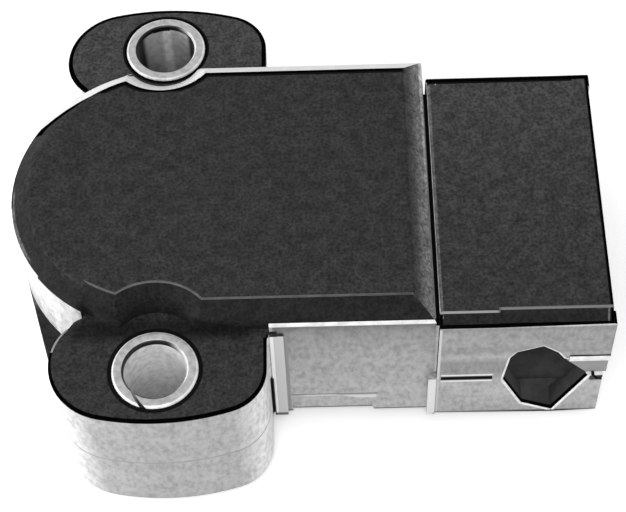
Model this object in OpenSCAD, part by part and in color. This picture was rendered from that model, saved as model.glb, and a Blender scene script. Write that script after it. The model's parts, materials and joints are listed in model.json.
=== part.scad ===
// Throttle position sensor.
// A moulded case with two screw ears and a plug socket holds a sprung rotor. The throttle shaft
// turns the rotor from below, and the rotor carries a contact arm over a printed track.
// The origin is on the rotor's axis, in the plane of the ears' undersides. +Z is up, and +X
// points to the plug socket. All lengths are millimetres.

/* [Body] */
// Radius of the body's round end
body_r = 15.3; // [14.6:0.1:16.2]
// Distance from the rotor's axis to the centre of the round end
body_arc_x = 0.85; // [0:0.05:1.5]
// Distance from the rotor's axis to the body's flat end
body_end_x = 26.2; // [25:0.1:32]
// Height of the top face
body_top_z = 19.7; // [19.2:0.1:24]
// Height of the body's underside over the ears' undersides
body_lift = 0.9; // [0.3:0.1:1]
// Width of the bevel round the top
bevel_w = 2.1; // [0.6:0.1:2.6]
// Height of the bevel round the top
bevel_h = 1.8; // [0.6:0.1:2.2]

/* [Cavity] */
// Radius of the cavity round the rotor
cavity_r = 11.6; // [11.4:0.1:11.9]
// Distance from the rotor's axis to the cavity's end wall
cavity_end_x = 22.4; // [21.8:0.1:23]
// Thickness of the wall over the cavity
ceiling_t = 2.9; // [2.4:0.1:3.1]
// Thickness left over the bore of the pivot bush
bush_cap_t = 1; // [0.8:0.1:1.2]

/* [Ears] */
// Distance between the two screw holes
hole_spacing = 37.8; // [37:0.1:40]
// Distance from the rotor's axis to an ear's side, towards the plug socket
ear_near_w = 10.35; // [9.4:0.05:11]
// Distance from the rotor's axis to an ear's other side
ear_back_w = 10.05; // [9.2:0.05:11]
// Height of an ear
ear_top_z = 16.5; // [15:0.1:17]
// Distance from the rotor's axis to an ear's outer end
ear_reach = 24.3; // [24:0.1:26]
// Radius of an ear's outer corner on the plug socket's side
ear_corner_r = 4.5; // [3:0.1:5.5]
// Radius of an ear's outer corner on the other side
ear_back_corner_r = 6.1; // [5:0.1:6.6]
// Radius of the fillet between an ear and the straight wall
ear_root_r = 0.5; // [0.4:0.1:1.5]
// Radius by which an ear turns in to the body from that corner
ear_back_r = 5.1; // [4.6:0.1:5.6]
// Angle that it turns through there
ear_back_turn = 65; // [55:1:75]
// Edge break round the ear's foot
ear_foot_break = 0.3; // [0.1:0.05:0.6]
// How far the body's side is set in over the front ear
ear_inset = 0.55; // [0.2:0.05:0.8]
// Height of the web that joins an ear to the round end
web_top_z = 9.6; // [6:0.1:12]
// Distance from a screw hole's middle to the middle of the screw head's scallop
scallop_inset = 1.8; // [1.2:0.1:2.4]
// Radius of that scallop at the foot of the bevel
scallop_r = 4.4; // [4.3:0.1:5.2]
// Radius of the same scallop in the top face
scallop_top_r = 5.9; // [5.4:0.1:6.2]

/* [Sleeves] */
// Outer diameter of a compression sleeve
sleeve_od = 8.1; // [7.6:0.1:8.6]
// Thickness of the sleeve's steel
sleeve_wall = 1.1; // [0.8:0.1:1.3]
// How far a sleeve stands over its ear
sleeve_proud = 0.25; // [0.1:0.05:0.5]
// Width of the slit along a sleeve
sleeve_slit = 0.3; // [0.2:0.05:0.5]
// Edge break at a sleeve's ends
sleeve_break = 0.3; // [0.1:0.05:0.4]

/* [Plug socket] */
// Gap between the body's flat end and the socket
socket_gap = 0.3; // [0.1:0.1:0.6]
// How far the neck between the two is set back from the body's side
neck_inset = 0.2; // [0.1:0.1:0.5]
// How far the neck's top lies under the foot of the bevel
neck_drop = 1; // [0.4:0.1:2]
// Distance from the rotor's axis to the socket's mouth
socket_end_x = 42.6; // [41:0.1:48]
// How far the side walls reach past the mouth, over the parting line
cheek_reach = 0.35; // [0.1:0.05:0.6]
// Distance from the rotor's axis to the socket's front wall
socket_front_y = 15.9; // [15.4:0.1:16.5]
// Distance from the rotor's axis to the socket's rear wall
socket_rear_y = 13.2; // [12.5:0.1:14.5]
// Height of the socket's top
socket_top_z = 19.1; // [18.8:0.1:20]
// Bevel along the socket's upper edges
socket_bevel = 1.2; // [0.4:0.1:1.4]
// How much narrower the front bevel is beside the body
bevel_step = 0.3; // [0.1:0.05:0.4]
// Length of that narrower bevel
bevel_step_len = 5.6; // [4:0.1:8]
// Thickness of the socket's walls
socket_wall = 2; // [1.6:0.1:2.3]
// Distance from the rotor's axis to the socket's back wall
socket_back_x = 28; // [27.4:0.1:29]
// Corner radius inside the socket
socket_corner_r = 1.2; // [0.6:0.1:2]
// Lead-in at the socket's mouth
socket_lead = 0.6; // [0.3:0.1:0.9]
// Width of a guide rib on the socket's floor
rib_w = 1.2; // [0.8:0.1:1.6]
// Height of a guide rib
rib_h = 1; // [0.6:0.1:1.4]
// Distance between the two guide ribs
rib_spacing = 15; // [13:0.1:18]

/* [Latch window] */
// Distance from the socket's mouth to the window's outer tip
window_setback = 1.55; // [1:0.05:2.5]
// Width of the window between its side tips
window_w = 8; // [7:0.1:9]
// Height of the window's inner tip
window_tip_z = 7.6; // [7:0.1:8.5]
// Height of the window's outer tip
window_nose_z = 8; // [7.4:0.1:8.6]
// Height of the window's upper edge
window_top_z = 13.7; // [12.5:0.1:14.5]
// Height of the window's lowest point
window_foot_z = 1.3; // [1.2:0.1:2]
// Height of the latch's lead-in groove, over the parting line
lead_h = 3.1; // [2.4:0.1:3.4]
// Depth of that groove
lead_depth = 0.4; // [0.2:0.05:0.6]
// Height of the lip along the groove's upper edge
lip_h = 0.9; // [0.5:0.1:1.2]
// How far the lip stands out of the wall
lip_proud = 0.15; // [0.05:0.05:0.3]

/* [Front wall details] */
// Height of the mould's parting line
parting_z = 8.1; // [7.5:0.1:8.6]
// Height of the slot along the parting line
slot_h = 0.4; // [0.2:0.05:0.6]
// Length of that slot
slot_len = 4.9; // [3:0.1:5]
// Distance from the slot to the window's inner tip
slot_margin = 1.2; // [0.8:0.1:2]
// Depth of that slot
slot_depth = 0.6; // [0.3:0.1:1]
// Width of the nick beside the mouth, where the mould's halves shut off
nick_w = 0.3; // [0.2:0.05:0.4]
// Length of that nick
nick_len = 1.2; // [0.8:0.1:1.5]
// How far that nick falls under the parting line
nick_drop = 0.8; // [0.6:0.1:1]
// Width of the post between body and socket
post_w = 0.8; // [0.6:0.1:1.2]
// How far the post stands out of the socket's wall
post_proud = 0.15; // [0.1:0.05:0.3]
// Width of the strip beside the front ear
strip_w = 1.3; // [1:0.1:2]
// How far that strip stands out of the wall
strip_proud = 0.3; // [0.1:0.05:0.4]
// Depth of the shallow step low in the front wall
step_depth = 0.3; // [0.1:0.05:0.4]
// Height of that step
step_h = 3.4; // [2.5:0.1:4]
// Length of that step
step_len = 8.4; // [6:0.1:9]

/* [Base] */
// Thickness of the base cover
cover_t = 2; // [1.6:0.1:2.1]
// Height of the cover's underside
cover_z = 1.1; // [1:0.05:1.3]
// Width of the ledge that the cover seats on
ledge_w = 1.2; // [0.9:0.1:1.4]
// Clearance round the cover
cover_clearance = 0.05; // [0.02:0.01:0.1]
// Thickness of the cover's seal
cover_seal_t = 0.5; // [0.3:0.1:0.6]
// Thickness of the wall round the slot of the spring's peg
peg_wall = 0.7; // [0.5:0.05:0.8]
// Length of that peg, outwards
peg_len = 1.7; // [1.4:0.1:1.9]
// Height of the bearing boss over the cover
boss_h = 1.2; // [1:0.1:1.3]
// Width of the bearing boss's wall
boss_wall = 2.35; // [2.1:0.05:2.5]
// Outer radius of the flange gasket
gasket_r = 12.2; // [11.8:0.1:12.6]
// Width of the flange gasket
gasket_w = 2; // [1.4:0.1:2.4]
// Gap between the flange gasket and the plane of the ears
gasket_inset = 0.1; // [0.05:0.05:0.3]

/* [Rotor] */
// Radius of the rotor's lower journal
journal_r = 6.2; // [6:0.05:6.3]
// Radial clearance of the rotor's journal and of its pivot
running_gap = 0.05; // [0.02:0.01:0.1]
// Height of the rotor's underside
rotor_z = 0.4; // [0.2:0.1:0.8]
// Radius of the hub inside the return spring
hub_r = 7; // [6.9:0.05:7.1]
// Height of the disc's underside
disc_z = 10.6; // [10.4:0.1:11]
// Thickness of the disc
disc_t = 2.2; // [1.8:0.1:2.4]
// Gap between the disc and the stop ribs
disc_gap = 0.35; // [0.3:0.05:0.5]
// Gap between the stop tab and the cavity's wall
tab_gap = 0.4; // [0.3:0.05:0.6]
// Radius of the collar over the disc
collar_r = 3.2; // [3:0.1:3.4]
// Radius of the upper pivot
pivot_r = 1.7; // [1.5:0.05:1.9]
// Wall of the pivot bush
bush_wall = 0.6; // [0.4:0.05:0.7]
// Angle that the rotor turns through
travel = 100; // [90:1:100]
// Gap over the end of the upper pivot
pivot_end_gap = 0.3; // [0.2:0.05:0.4]
// Angle between stop tab and stop rib at either end
stop_gap = 1.6; // [1.6:0.1:2.5]
// Width of the stop tab, as an angle
tab_angle = 16; // [12:1:18]
// Width of a stop rib, as an angle
stop_angle = 8; // [6:1:10]

/* [Drive bush] */
// Outer radius of the drive bush
drive_r = 4.9; // [4.7:0.1:5.1]
// Radius of the drive bush's bore
drive_bore_r = 3.9; // [3.7:0.1:4.1]
// Distance between the bore's two flats
drive_flats = 6; // [5.8:0.1:6.4]
// Depth of the drive bush's socket
drive_depth = 7.6; // [6:0.1:8]
// Thickness of the drive bush's closed end
drive_end_t = 0.8; // [0.6:0.1:1]

/* [Spring and seals] */
// Mean radius of the return spring
spring_r = 8; // [7.9:0.05:8.1]
// Diameter of the spring's wire
spring_wire = 0.9; // [0.7:0.05:0.95]
// Length of the spring's leg, outwards from the coil
spring_leg = 2.5; // [2.2:0.1:2.8]
// Number of turns of the spring
spring_turns = 4; // [3:1:4]
// Height from one turn to the next
spring_pitch = 1; // [0.96:0.01:1.05]
// Gap between the coil and the thrust washer
coil_gap = 0.25; // [0.2:0.05:0.3]
// Thickness of the thrust washer
washer_t = 0.4; // [0.3:0.05:0.45]
// Diameter of the rotor seal's section
oring_d = 1.1; // [0.9:0.05:1.2]

/* [Board and contacts] */
// Thickness of the resistor board
board_t = 0.8; // [0.6:0.1:0.9]
// Radius of the resistor board
board_r = 10.6; // [10.4:0.1:10.7]
// Radius of the board's centre hole
board_hole_r = 2.6; // [2.5:0.1:2.8]
// Gap between the board's end and the cavity's end wall
board_end_gap = 1.2; // [0.8:0.1:1.4]
// Thickness of a printed layer
film_t = 0.1; // [0.05:0.01:0.12]
// Inner radius of the resistive track
track_in_r = 7.7; // [7.5:0.1:7.9]
// Width of the resistive track
track_w = 1.4; // [1.2:0.1:1.6]
// Inner radius of the collector track
collector_in_r = 4.9; // [4.7:0.1:5.1]
// Width of the collector track
collector_w = 1.3; // [1.1:0.1:1.5]
// Angle of track beyond the brush at either end of the travel
track_margin = 10; // [8:1:12]
// Gap between a brush and its track
brush_gap = 0.02; // [0.01:0.01:0.05]
// Thickness of the contact arm's sheet
arm_t = 0.2; // [0.15:0.05:0.3]
// Width of one contact finger
finger_w = 1; // [0.8:0.1:1.1]
// Angle of the contact arm's root plate
plate_angle = 24; // [20:1:26]
// Radius of the studs that hold the contact arm
stud_r = 0.6; // [0.5:0.05:0.7]
// Height of a stud's head over the contact arm
stud_head = 0.4; // [0.3:0.05:0.5]
// Radius of a brush
brush_r = 0.4; // [0.3:0.05:0.45]
// Height of a brush
brush_h = 0.6; // [0.5:0.05:0.7]
// Width of a printed conductor
trace_w = 1.2; // [1:0.1:1.4]
// Length of a terminal's foot on the board
foot_len = 3.2; // [2.8:0.1:3.6]
// Radius of the stakes that hold the board
stake_r = 0.6; // [0.5:0.05:0.65]
// Radius of a stake's head
stake_head_r = 1; // [0.9:0.05:1.1]
// Height of a stake's head
stake_head_t = 0.6; // [0.4:0.05:0.7]
// Distance from the rotor's axis to the two stakes beside it, towards the plug socket
side_stake_x = 2; // [1:0.1:3]
// Distance from the rotor's axis to the third stake
end_stake_x = 13; // [12:0.1:15]
// Distance between terminals
pin_pitch = 6; // [5:0.1:6.2]
// Width of a terminal
pin_w = 2.8; // [2:0.1:2.8]
// Thickness of a terminal
pin_t = 0.8; // [0.6:0.05:0.8]
// Length of the taper at a terminal's tip
pin_taper = 1.2; // [0.8:0.1:1.6]
// Gap between the terminals' tips and the socket's mouth
pin_inset = 5.1; // [4.5:0.1:6]

/* [Hidden] */

// Small overlap that makes a cut run past a face
past = 1;
// Thinnest layer, where a hull starts or ends and where a web meets the round end
leaf = 0.01;
// Smoothness of the true curves
smooth = 96;
// Steps of an arc that is drawn as a polygon
arc_steps = 16;

wall_top_z = body_top_z - bevel_h;
ceiling_z = body_top_z - ceiling_t;
hole_y = hole_spacing / 2;
sleeve_r = sleeve_od / 2;
sleeve_top_z = ear_top_z + sleeve_proud;

cover_top_z = cover_z + cover_t;
ledge_z = cover_top_z + cover_seal_t;
cover_end_x = cavity_end_x + ledge_w - cover_clearance;
boss_top_z = cover_top_z + boss_h;
oring_gap = running_gap / 2;
boss_r = journal_r + boss_wall;
washer_top_z = boss_top_z + washer_t;

disc_top_z = disc_z + disc_t;
stop_rib_r = board_r + disc_gap / 2;
disc_r = stop_rib_r - disc_gap;
tab_r = cavity_r - tab_gap;
bush_r = pivot_r + running_gap + bush_wall;
bush_top_z = body_top_z - bush_cap_t;
collar_top_z = ceiling_z - board_t - 2 * disc_gap;

// Angle of both legs of the return spring
leg_angle = 40;
spring_z = washer_top_z + spring_wire / 2 + coil_gap;
peg_x = spring_r + spring_leg - peg_len + running_gap;

// Middle of the rotor's travel, away from the plug socket
mid_angle = 180;
tab_start = mid_angle - travel / 2;
// The fingers reach forward by this angle from their root to their brush
finger_span = 46;
brush_angle = mid_angle - travel / 2;

board_z = ceiling_z - board_t;
film_z = board_z - film_t;
track_start = brush_angle - track_margin;
track_span = travel + 2 * track_margin;
track_mid_r = track_in_r + track_w / 2;
collector_mid_r = collector_in_r + collector_w / 2;

socket_mid_y = (socket_rear_y - socket_front_y) / 2;
socket_floor_z = body_lift + socket_wall;
socket_ceiling_z = socket_top_z - socket_wall;
pin_z = (socket_floor_z + socket_ceiling_z) / 2;
pin_tip_x = socket_end_x - pin_inset;
pin_y = [for (i = [-1:1]) socket_mid_y + i * pin_pitch];
board_end_x = cavity_end_x - board_end_gap;
window_x = socket_end_x - window_setback - window_w;
strip_x = ear_near_w + ear_root_r / 2;

// Points of an arc about a centre
function arc(c, r, from, to, steps = arc_steps) =
    [for (i = [0:steps]) c + r * [cos(from + (to - from) * i / steps), sin(from + (to - from) * i / steps)]];

// Outline of half a disc towards -X with a rectangle towards +X
function d_outline(r, end_x) =
    concat([[end_x, r]], arc([0, 0], r, 90, 270, 3 * arc_steps), [[end_x, -r]]);

// Outline of a rectangle with round corners
function rounded(x0, y0, x1, y1, r) = concat(
    arc([x1 - r, y1 - r], r, 0, 90, 6),
    arc([x0 + r, y1 - r], r, 90, 180, 6),
    arc([x0 + r, y0 + r], r, 180, 270, 6),
    arc([x1 - r, y0 + r], r, 270, 360, 6)
);

// Point at a radius and an angle about the rotor's axis
function polar(r, a) = [r * cos(a), r * sin(a)];

// Lays a drawing in the YZ plane and pulls it along +X
module along_x(from, to) {
    translate([from, 0, 0])
        rotate([90, 0, 90])
            linear_extrude(to - from)
                children();
}

// Lays a drawing in the XZ plane and pulls it along +Y
module along_y(from, to) {
    translate([0, to, 0])
        rotate([90, 0, 0])
            linear_extrude(to - from)
                children();
}

// Ring with a rectangular section
module ring(inner_r, outer_r, z0, z1) {
    rotate_extrude($fn = smooth)
        translate([inner_r, z0])
            square([outer_r - inner_r, z1 - z0]);
}

// Part of such a ring
module ring_part(inner_r, outer_r, z0, z1, from, span) {
    rotate([0, 0, from])
        rotate_extrude(angle = span, $fn = smooth)
            translate([inner_r, z0])
                square([outer_r - inner_r, z1 - z0]);
}

// Does the same to the front and to the rear
module both_sides() {
    children();
    mirror([0, 1, 0])
        children();
}

// The body, with its bevel all round the top
module body_solid() {
    translate([body_arc_x, 0, 0])
        rotate([0, 0, 90])
            rotate_extrude(angle = 180, $fn = smooth)
                polygon([
                    [0, body_lift], [body_r, body_lift], [body_r, wall_top_z],
                    [body_r - bevel_w, body_top_z], [0, body_top_z]
                ]);
    difference() {
        along_x(body_arc_x, body_end_x)
            polygon([
                [-body_r, body_lift], [body_r, body_lift], [body_r, wall_top_z],
                [body_r - bevel_w, body_top_z], [bevel_w - body_r, body_top_z], [-body_r, wall_top_z]
            ]);
        along_y(-body_r - past, body_r + past)
            polygon([
                [body_end_x - bevel_w, body_top_z], [body_end_x, wall_top_z],
                [body_end_x + past, wall_top_z], [body_end_x + past, body_top_z + past],
                [body_end_x - bevel_w, body_top_z + past]
            ]);
    }
}

// The ring under the round end, level with the ears' undersides
module base_ring() {
    translate([body_arc_x, 0, 0])
        cylinder(r = body_r, h = body_lift + past / 2, $fn = smooth);
}

// Centre of an ear's corner arc at a distance from the axis. It also touches the ear's outer arc
function ear_corner(r, x) = [x, -sqrt(pow(ear_reach - r, 2) - pow(x, 2))];
near_corner = ear_corner(ear_corner_r, ear_near_w - ear_corner_r);
back_corner = ear_corner(ear_back_corner_r, ear_back_corner_r - ear_back_w);
ear_back_y = -back_corner[1];
near_angle = atan2(near_corner[1], near_corner[0]);
back_angle = atan2(back_corner[1], back_corner[0]);

// Outline of the front ear, drawn in by an inset. Its outer end is round about the rotor's axis
function ear_outline(inset) = concat(
    [[ear_near_w - inset, 0], [0, 0]],
    arc([ear_back_r - ear_back_w, -ear_back_y], ear_back_r - inset, 180 - ear_back_turn, 180),
    arc(back_corner, ear_back_corner_r - inset, 180, back_angle + 360),
    arc([0, 0], ear_reach - inset, back_angle, near_angle),
    arc(near_corner, ear_corner_r - inset, near_angle, 0)
);

// Front ear, with its lower edge broken
module ear() {
    translate([0, 0, ear_foot_break])
        linear_extrude(ear_top_z - ear_foot_break)
            polygon(ear_outline(0));
    hull() {
        translate([0, 0, ear_foot_break])
            linear_extrude(leaf)
                polygon(ear_outline(0));
        linear_extrude(leaf)
            polygon(ear_outline(ear_foot_break));
    }
}

// Room over the front ear as far as the strip, where the body's side is set in
module ear_room() {
    translate([0, 0, ear_top_z])
        linear_extrude(body_top_z)
            difference() {
                union() {
                    polygon(ear_outline(0));
                    translate([0, -body_r - past])
                        square([strip_x, body_r]);
                }
                translate([body_arc_x, 0])
                    circle(r = body_r - ear_inset, $fn = smooth);
                translate([body_arc_x, ear_inset - body_r])
                    square([body_end_x, body_r]);
            }
}

// Tangent from the ear's side to the round end
web_dx = -ear_back_w - body_arc_x;
web_dist = sqrt(pow(web_dx, 2) + pow(ear_back_y, 2));
web_a = atan2(-ear_back_y, web_dx) - acos(body_r / web_dist);

// Low web between the front ear and the round end
module web() {
    touch = [body_arc_x, 0] + polar(body_r - leaf, web_a);
    linear_extrude(web_top_z)
        polygon([[0, 0], touch, [-ear_back_w, -ear_back_y], [0, -ear_back_y]]);
}

// Fillet between the front ear and the straight wall
module ear_root() {
    corner = [ear_near_w, -body_r];
    translate([0, 0, body_lift])
        linear_extrude(ear_top_z - body_lift)
            polygon(concat(
                [corner + [-past, past], corner + [-past, -ear_root_r]],
                arc(corner + [ear_root_r, -ear_root_r], ear_root_r, 180, 90, 8),
                [corner + [ear_root_r, past]]
            ));
}

// Strip of wall beside the front ear
module front_strip() {
    translate([strip_x, -body_r - strip_proud, body_lift - strip_proud])
        cube([strip_w, strip_proud + past, ear_top_z - body_lift + strip_proud]);
}

// Space for a screw head over an ear, cut into the body
module scallop() {
    slope = (scallop_top_r - scallop_r) / bevel_h;
    translate([0, scallop_inset - hole_y, 0])
        rotate_extrude($fn = smooth)
            polygon([
                [0, ear_top_z], [scallop_r, ear_top_z], [scallop_r, wall_top_z],
                [scallop_top_r + slope * past, body_top_z + past], [0, body_top_z + past]
            ]);
}

// Outline of the plug socket's outside in the YZ plane, with a width for the front bevel
function socket_outline(front_bevel) = [
    [-socket_front_y, body_lift], [socket_rear_y, body_lift],
    [socket_rear_y, socket_top_z - socket_bevel], [socket_rear_y - socket_bevel, socket_top_z],
    [front_bevel - socket_front_y, socket_top_z], [-socket_front_y, socket_top_z - socket_bevel]
];

// Outside of the plug socket, with the neck that joins it to the body
module socket_outside() {
    along_x(body_end_x + socket_gap, socket_end_x)
        polygon(socket_outline(socket_bevel));
    along_x(body_end_x + socket_gap, body_end_x + socket_gap + bevel_step_len)
        polygon(socket_outline(socket_bevel - bevel_step));
    neck_y = neck_inset - body_r;
    neck_end_y = socket_rear_y - socket_bevel;
    translate([body_end_x - past, neck_y, body_lift])
        cube([2 * past + socket_gap, neck_end_y - neck_y, wall_top_z - neck_drop - body_lift]);
    cheeks();
}

// The side walls reach past the mouth over the parting line
module cheeks() {
    cheek_w = socket_wall - socket_lead;
    for (y = [-socket_front_y, socket_rear_y - cheek_w])
        translate([socket_end_x - past, y, parting_z])
            cube([past + cheek_reach, cheek_w, socket_top_z - socket_bevel - parting_z]);
}

// Lip over the latch's lead-in groove
module lead_lip() {
    lip_x = window_x + 0.75 * window_w;
    translate([lip_x, -socket_front_y - lip_proud, parting_z + lead_h])
        cube([socket_end_x + cheek_reach - lip_x, lip_proud + past, lip_h]);
}

// Groove that leads the mating plug's latch from the mouth to the window
module lead_groove() {
    translate([window_x + window_w / 2, -socket_front_y - past, parting_z])
        cube([window_w + window_setback, past + lead_depth, lead_h]);
}

// Post at the body's corner, under the parting line
module corner_post() {
    translate([body_end_x + socket_gap - post_w, -socket_front_y - post_proud, body_lift])
        cube([post_w, past + post_proud, parting_z - body_lift]);
}

// Opening for the mating plug's latch, an uneven hexagon with its upper corners cut
module latch_window() {
    window_h = window_top_z - window_foot_z;
    heel = [0.26 * window_w, window_foot_z + 0.12 * window_h];
    foot = [0.63 * window_w, window_foot_z];
    shoulder = [0.74 * window_w, window_nose_z + 0.2 * window_h];
    brow = [0.6 * window_w, window_top_z - 0.1 * window_h];
    crown = [0.42 * window_w, window_top_z];
    temple = [0.13 * window_w, window_top_z - 0.08 * window_h];
    cheek = [0.06 * window_w, window_top_z - 0.16 * window_h];
    translate([window_x, 0, 0])
        along_y(-socket_front_y - past, -socket_front_y + socket_wall + past / 2)
            polygon([
                [0, window_tip_z], heel, foot, [window_w, window_nose_z],
                shoulder, brow, crown, temple, cheek
            ]);
}

// Room inside the plug socket, with a lead-in at its mouth
module socket_room() {
    y0 = socket_wall - socket_front_y;
    y1 = socket_rear_y - socket_wall;
    along_x(socket_back_x, socket_end_x + past)
        polygon(rounded(y0, socket_floor_z, y1, socket_ceiling_z, socket_corner_r));
    hull() {
        along_x(socket_end_x - socket_lead, socket_end_x - socket_lead + leaf)
            polygon(rounded(y0, socket_floor_z, y1, socket_ceiling_z, socket_corner_r));
        along_x(socket_end_x, socket_end_x + leaf)
            polygon(rounded(
                y0 - socket_lead, socket_floor_z - socket_lead,
                y1 + socket_lead, socket_ceiling_z + socket_lead, socket_corner_r + socket_lead
            ));
    }
}

// Guide ribs on the socket's floor
module guide_ribs() {
    rib_end_x = socket_end_x - socket_lead - rib_w;
    for (side = [-1, 1])
        translate([
            socket_back_x - past, socket_mid_y + side * rib_spacing / 2 - rib_w / 2, socket_floor_z - past
        ])
            cube([rib_end_x - socket_back_x + past, rib_w, rib_h + past]);
}

// Cavity for rotor and board, with the ledge and the rebate of the base cover
module cavity() {
    translate([0, 0, ledge_z - past])
        linear_extrude(ceiling_z - ledge_z + past)
            polygon(d_outline(cavity_r, cavity_end_x));
    translate([0, 0, -past])
        linear_extrude(ledge_z + past)
            polygon(d_outline(cavity_r + ledge_w, cavity_end_x + ledge_w));
}

// Ribs that the rotor's tab stops against
module stop_ribs() {
    turn = tab_angle / 2 + stop_gap + stop_angle / 2;
    for (mid = [tab_start - turn, tab_start + travel + turn])
        ring_part(
            stop_rib_r, cavity_r + past, disc_z - tab_gap, ceiling_z + past / 2,
            mid - stop_angle / 2, stop_angle
        );
}

// Posts that are heated over to hold the board, clear of its printed conductors
stake_y = board_r - stake_head_r - running_gap;
stake_places = [
    [side_stake_x, -stake_y], [side_stake_x, stake_y], [end_stake_x, pin_y[1] + pin_pitch / 2]
];
module stakes() {
    for (p = stake_places) {
        translate([p[0], p[1], board_z - stake_head_t])
            cylinder(r = stake_r, h = board_t + stake_head_t + past / 2, $fn = 32);
        translate([p[0], p[1], board_z - stake_head_t])
            cylinder(r = stake_head_r, h = stake_head_t, $fn = 32);
    }
}

module housing() {
    color("#38383a") {
        difference() {
            union() {
                body_solid();
                base_ring();
                both_sides() {
                    ear();
                    web();
                    ear_root();
                }
                front_strip();
                socket_outside();
                lead_lip();
                corner_post();
            }
            both_sides()
                scallop();
            ear_room();
            for (side = [-1, 1])
                translate([0, side * hole_y, -past])
                    cylinder(r = sleeve_r, h = ear_top_z + 2 * past, $fn = smooth);
            cavity();
            translate([0, 0, ceiling_z - past])
                cylinder(r = bush_r, h = bush_top_z - ceiling_z + past, $fn = smooth);
            difference() {
                socket_room();
                guide_ribs();
            }
            latch_window();
            lead_groove();
            parting_slot();
            mouth_nick();
            front_step();
            for (y = pin_y)
                pin_passage(y);
        }
        stop_ribs();
        stakes();
    }
}

// Slot along the parting line, between the corner post and the window
module parting_slot() {
    translate([window_x - slot_margin - slot_len, -socket_front_y - past, parting_z - slot_h / 2])
        cube([slot_len, past + slot_depth, slot_h]);
}

// Nick that runs down from the parting line and out to the mouth
module mouth_nick() {
    start_x = socket_end_x - nick_len;
    turn_x = socket_end_x - nick_len / 2;
    foot_z = parting_z - nick_drop;
    along_y(-socket_front_y - past, -socket_front_y + slot_depth)
        polygon([
            [start_x, parting_z + nick_w / 2], [start_x + nick_w, parting_z + nick_w / 2],
            [turn_x + nick_w / 2, foot_z + nick_w], [socket_end_x + past, foot_z + nick_w],
            [socket_end_x + past, foot_z], [turn_x, foot_z]
        ]);
}

// Shallow step low in the body's front wall
module front_step() {
    step_x = strip_x + strip_w + past / 2;
    step_top_z = body_lift + step_h;
    along_y(-body_r - past, -body_r + step_depth)
        polygon([
            [step_x, body_lift - past], [step_x, step_top_z - step_h / 10],
            [step_x + step_len / 6, step_top_z], [step_x + step_len / 2, step_top_z],
            [step_x + 0.9 * step_len, step_top_z - step_h / 3], [step_x + step_len, body_lift - past]
        ]);
}

// Passage of a terminal through the wall between cavity and socket
module pin_passage(y) {
    translate([cavity_end_x - past, y - pin_w / 2, pin_z - pin_t / 2])
        cube([socket_back_x - cavity_end_x + 2 * past, pin_w, pin_t]);
}

// Slotted peg on the base cover that holds the spring's leg
leg_slot = spring_wire + 2 * running_gap;
leg_seat_z = spring_z - spring_wire / 2;
module spring_peg() {
    peg_w = leg_slot + 2 * peg_wall;
    rotate([0, 0, leg_angle])
        difference() {
            translate([peg_x, -peg_w / 2, cover_top_z - past / 2])
                cube([peg_len, peg_w, spring_z - cover_top_z + past / 2]);
            translate([peg_x - past, -leg_slot / 2, leg_seat_z])
                cube([peg_len + 2 * past, leg_slot, spring_wire]);
        }
}

module base_cover() {
    color("#2c2c2e")
        difference() {
            union() {
                translate([0, 0, cover_z])
                    linear_extrude(cover_t)
                        polygon(d_outline(cavity_r + ledge_w - cover_clearance, cover_end_x));
                ring(journal_r + running_gap, boss_r, cover_z, boss_top_z);
                spring_peg();
            }
            translate([0, 0, cover_z - past])
                cylinder(r = journal_r + running_gap, h = cover_t + boss_h + 2 * past, $fn = smooth);
            translate([0, 0, boss_top_z - oring_d - 2 * oring_gap])
                cylinder(r = journal_r + running_gap + oring_d, h = oring_d + past, $fn = smooth);
        }
}

module cover_seal() {
    color("#7a3b2e")
        translate([0, 0, cover_top_z])
            linear_extrude(cover_seal_t)
                difference() {
                    polygon(d_outline(cavity_r + ledge_w - cover_clearance, cover_end_x));
                    polygon(d_outline(cavity_r, cavity_end_x));
                }
}

module flange_gasket() {
    color("#1e1e1f")
        ring(gasket_r - gasket_w, gasket_r, gasket_inset, cover_z);
}

// Split steel sleeve. The slit's angle is where its seam lies
module sleeve(slit_angle) {
    inner_r = sleeve_r - sleeve_wall;
    difference() {
        rotate_extrude($fn = smooth)
            polygon([
                [inner_r, sleeve_break], [inner_r + sleeve_break, 0],
                [sleeve_r - sleeve_break, 0], [sleeve_r, sleeve_break],
                [sleeve_r, sleeve_top_z - sleeve_break], [sleeve_r - sleeve_break, sleeve_top_z],
                [inner_r + sleeve_break, sleeve_top_z], [inner_r, sleeve_top_z - sleeve_break]
            ]);
        rotate([0, 0, slit_angle])
            translate([0, -sleeve_slit / 2, -past])
                cube([sleeve_od, sleeve_slit, sleeve_top_z + 2 * past]);
    }
}

module front_sleeve() {
    color("#c9c9c6")
        translate([0, -hole_y, 0])
            sleeve(250);
}

module rear_sleeve() {
    color("#c9c9c6")
        translate([0, hole_y, 0])
            sleeve(100);
}

// Blind hole in the disc for the spring's upper leg
leg_hole_r = spring_wire / 2 + coil_gap;
leg_hole_depth = 0.7 * disc_t;

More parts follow.
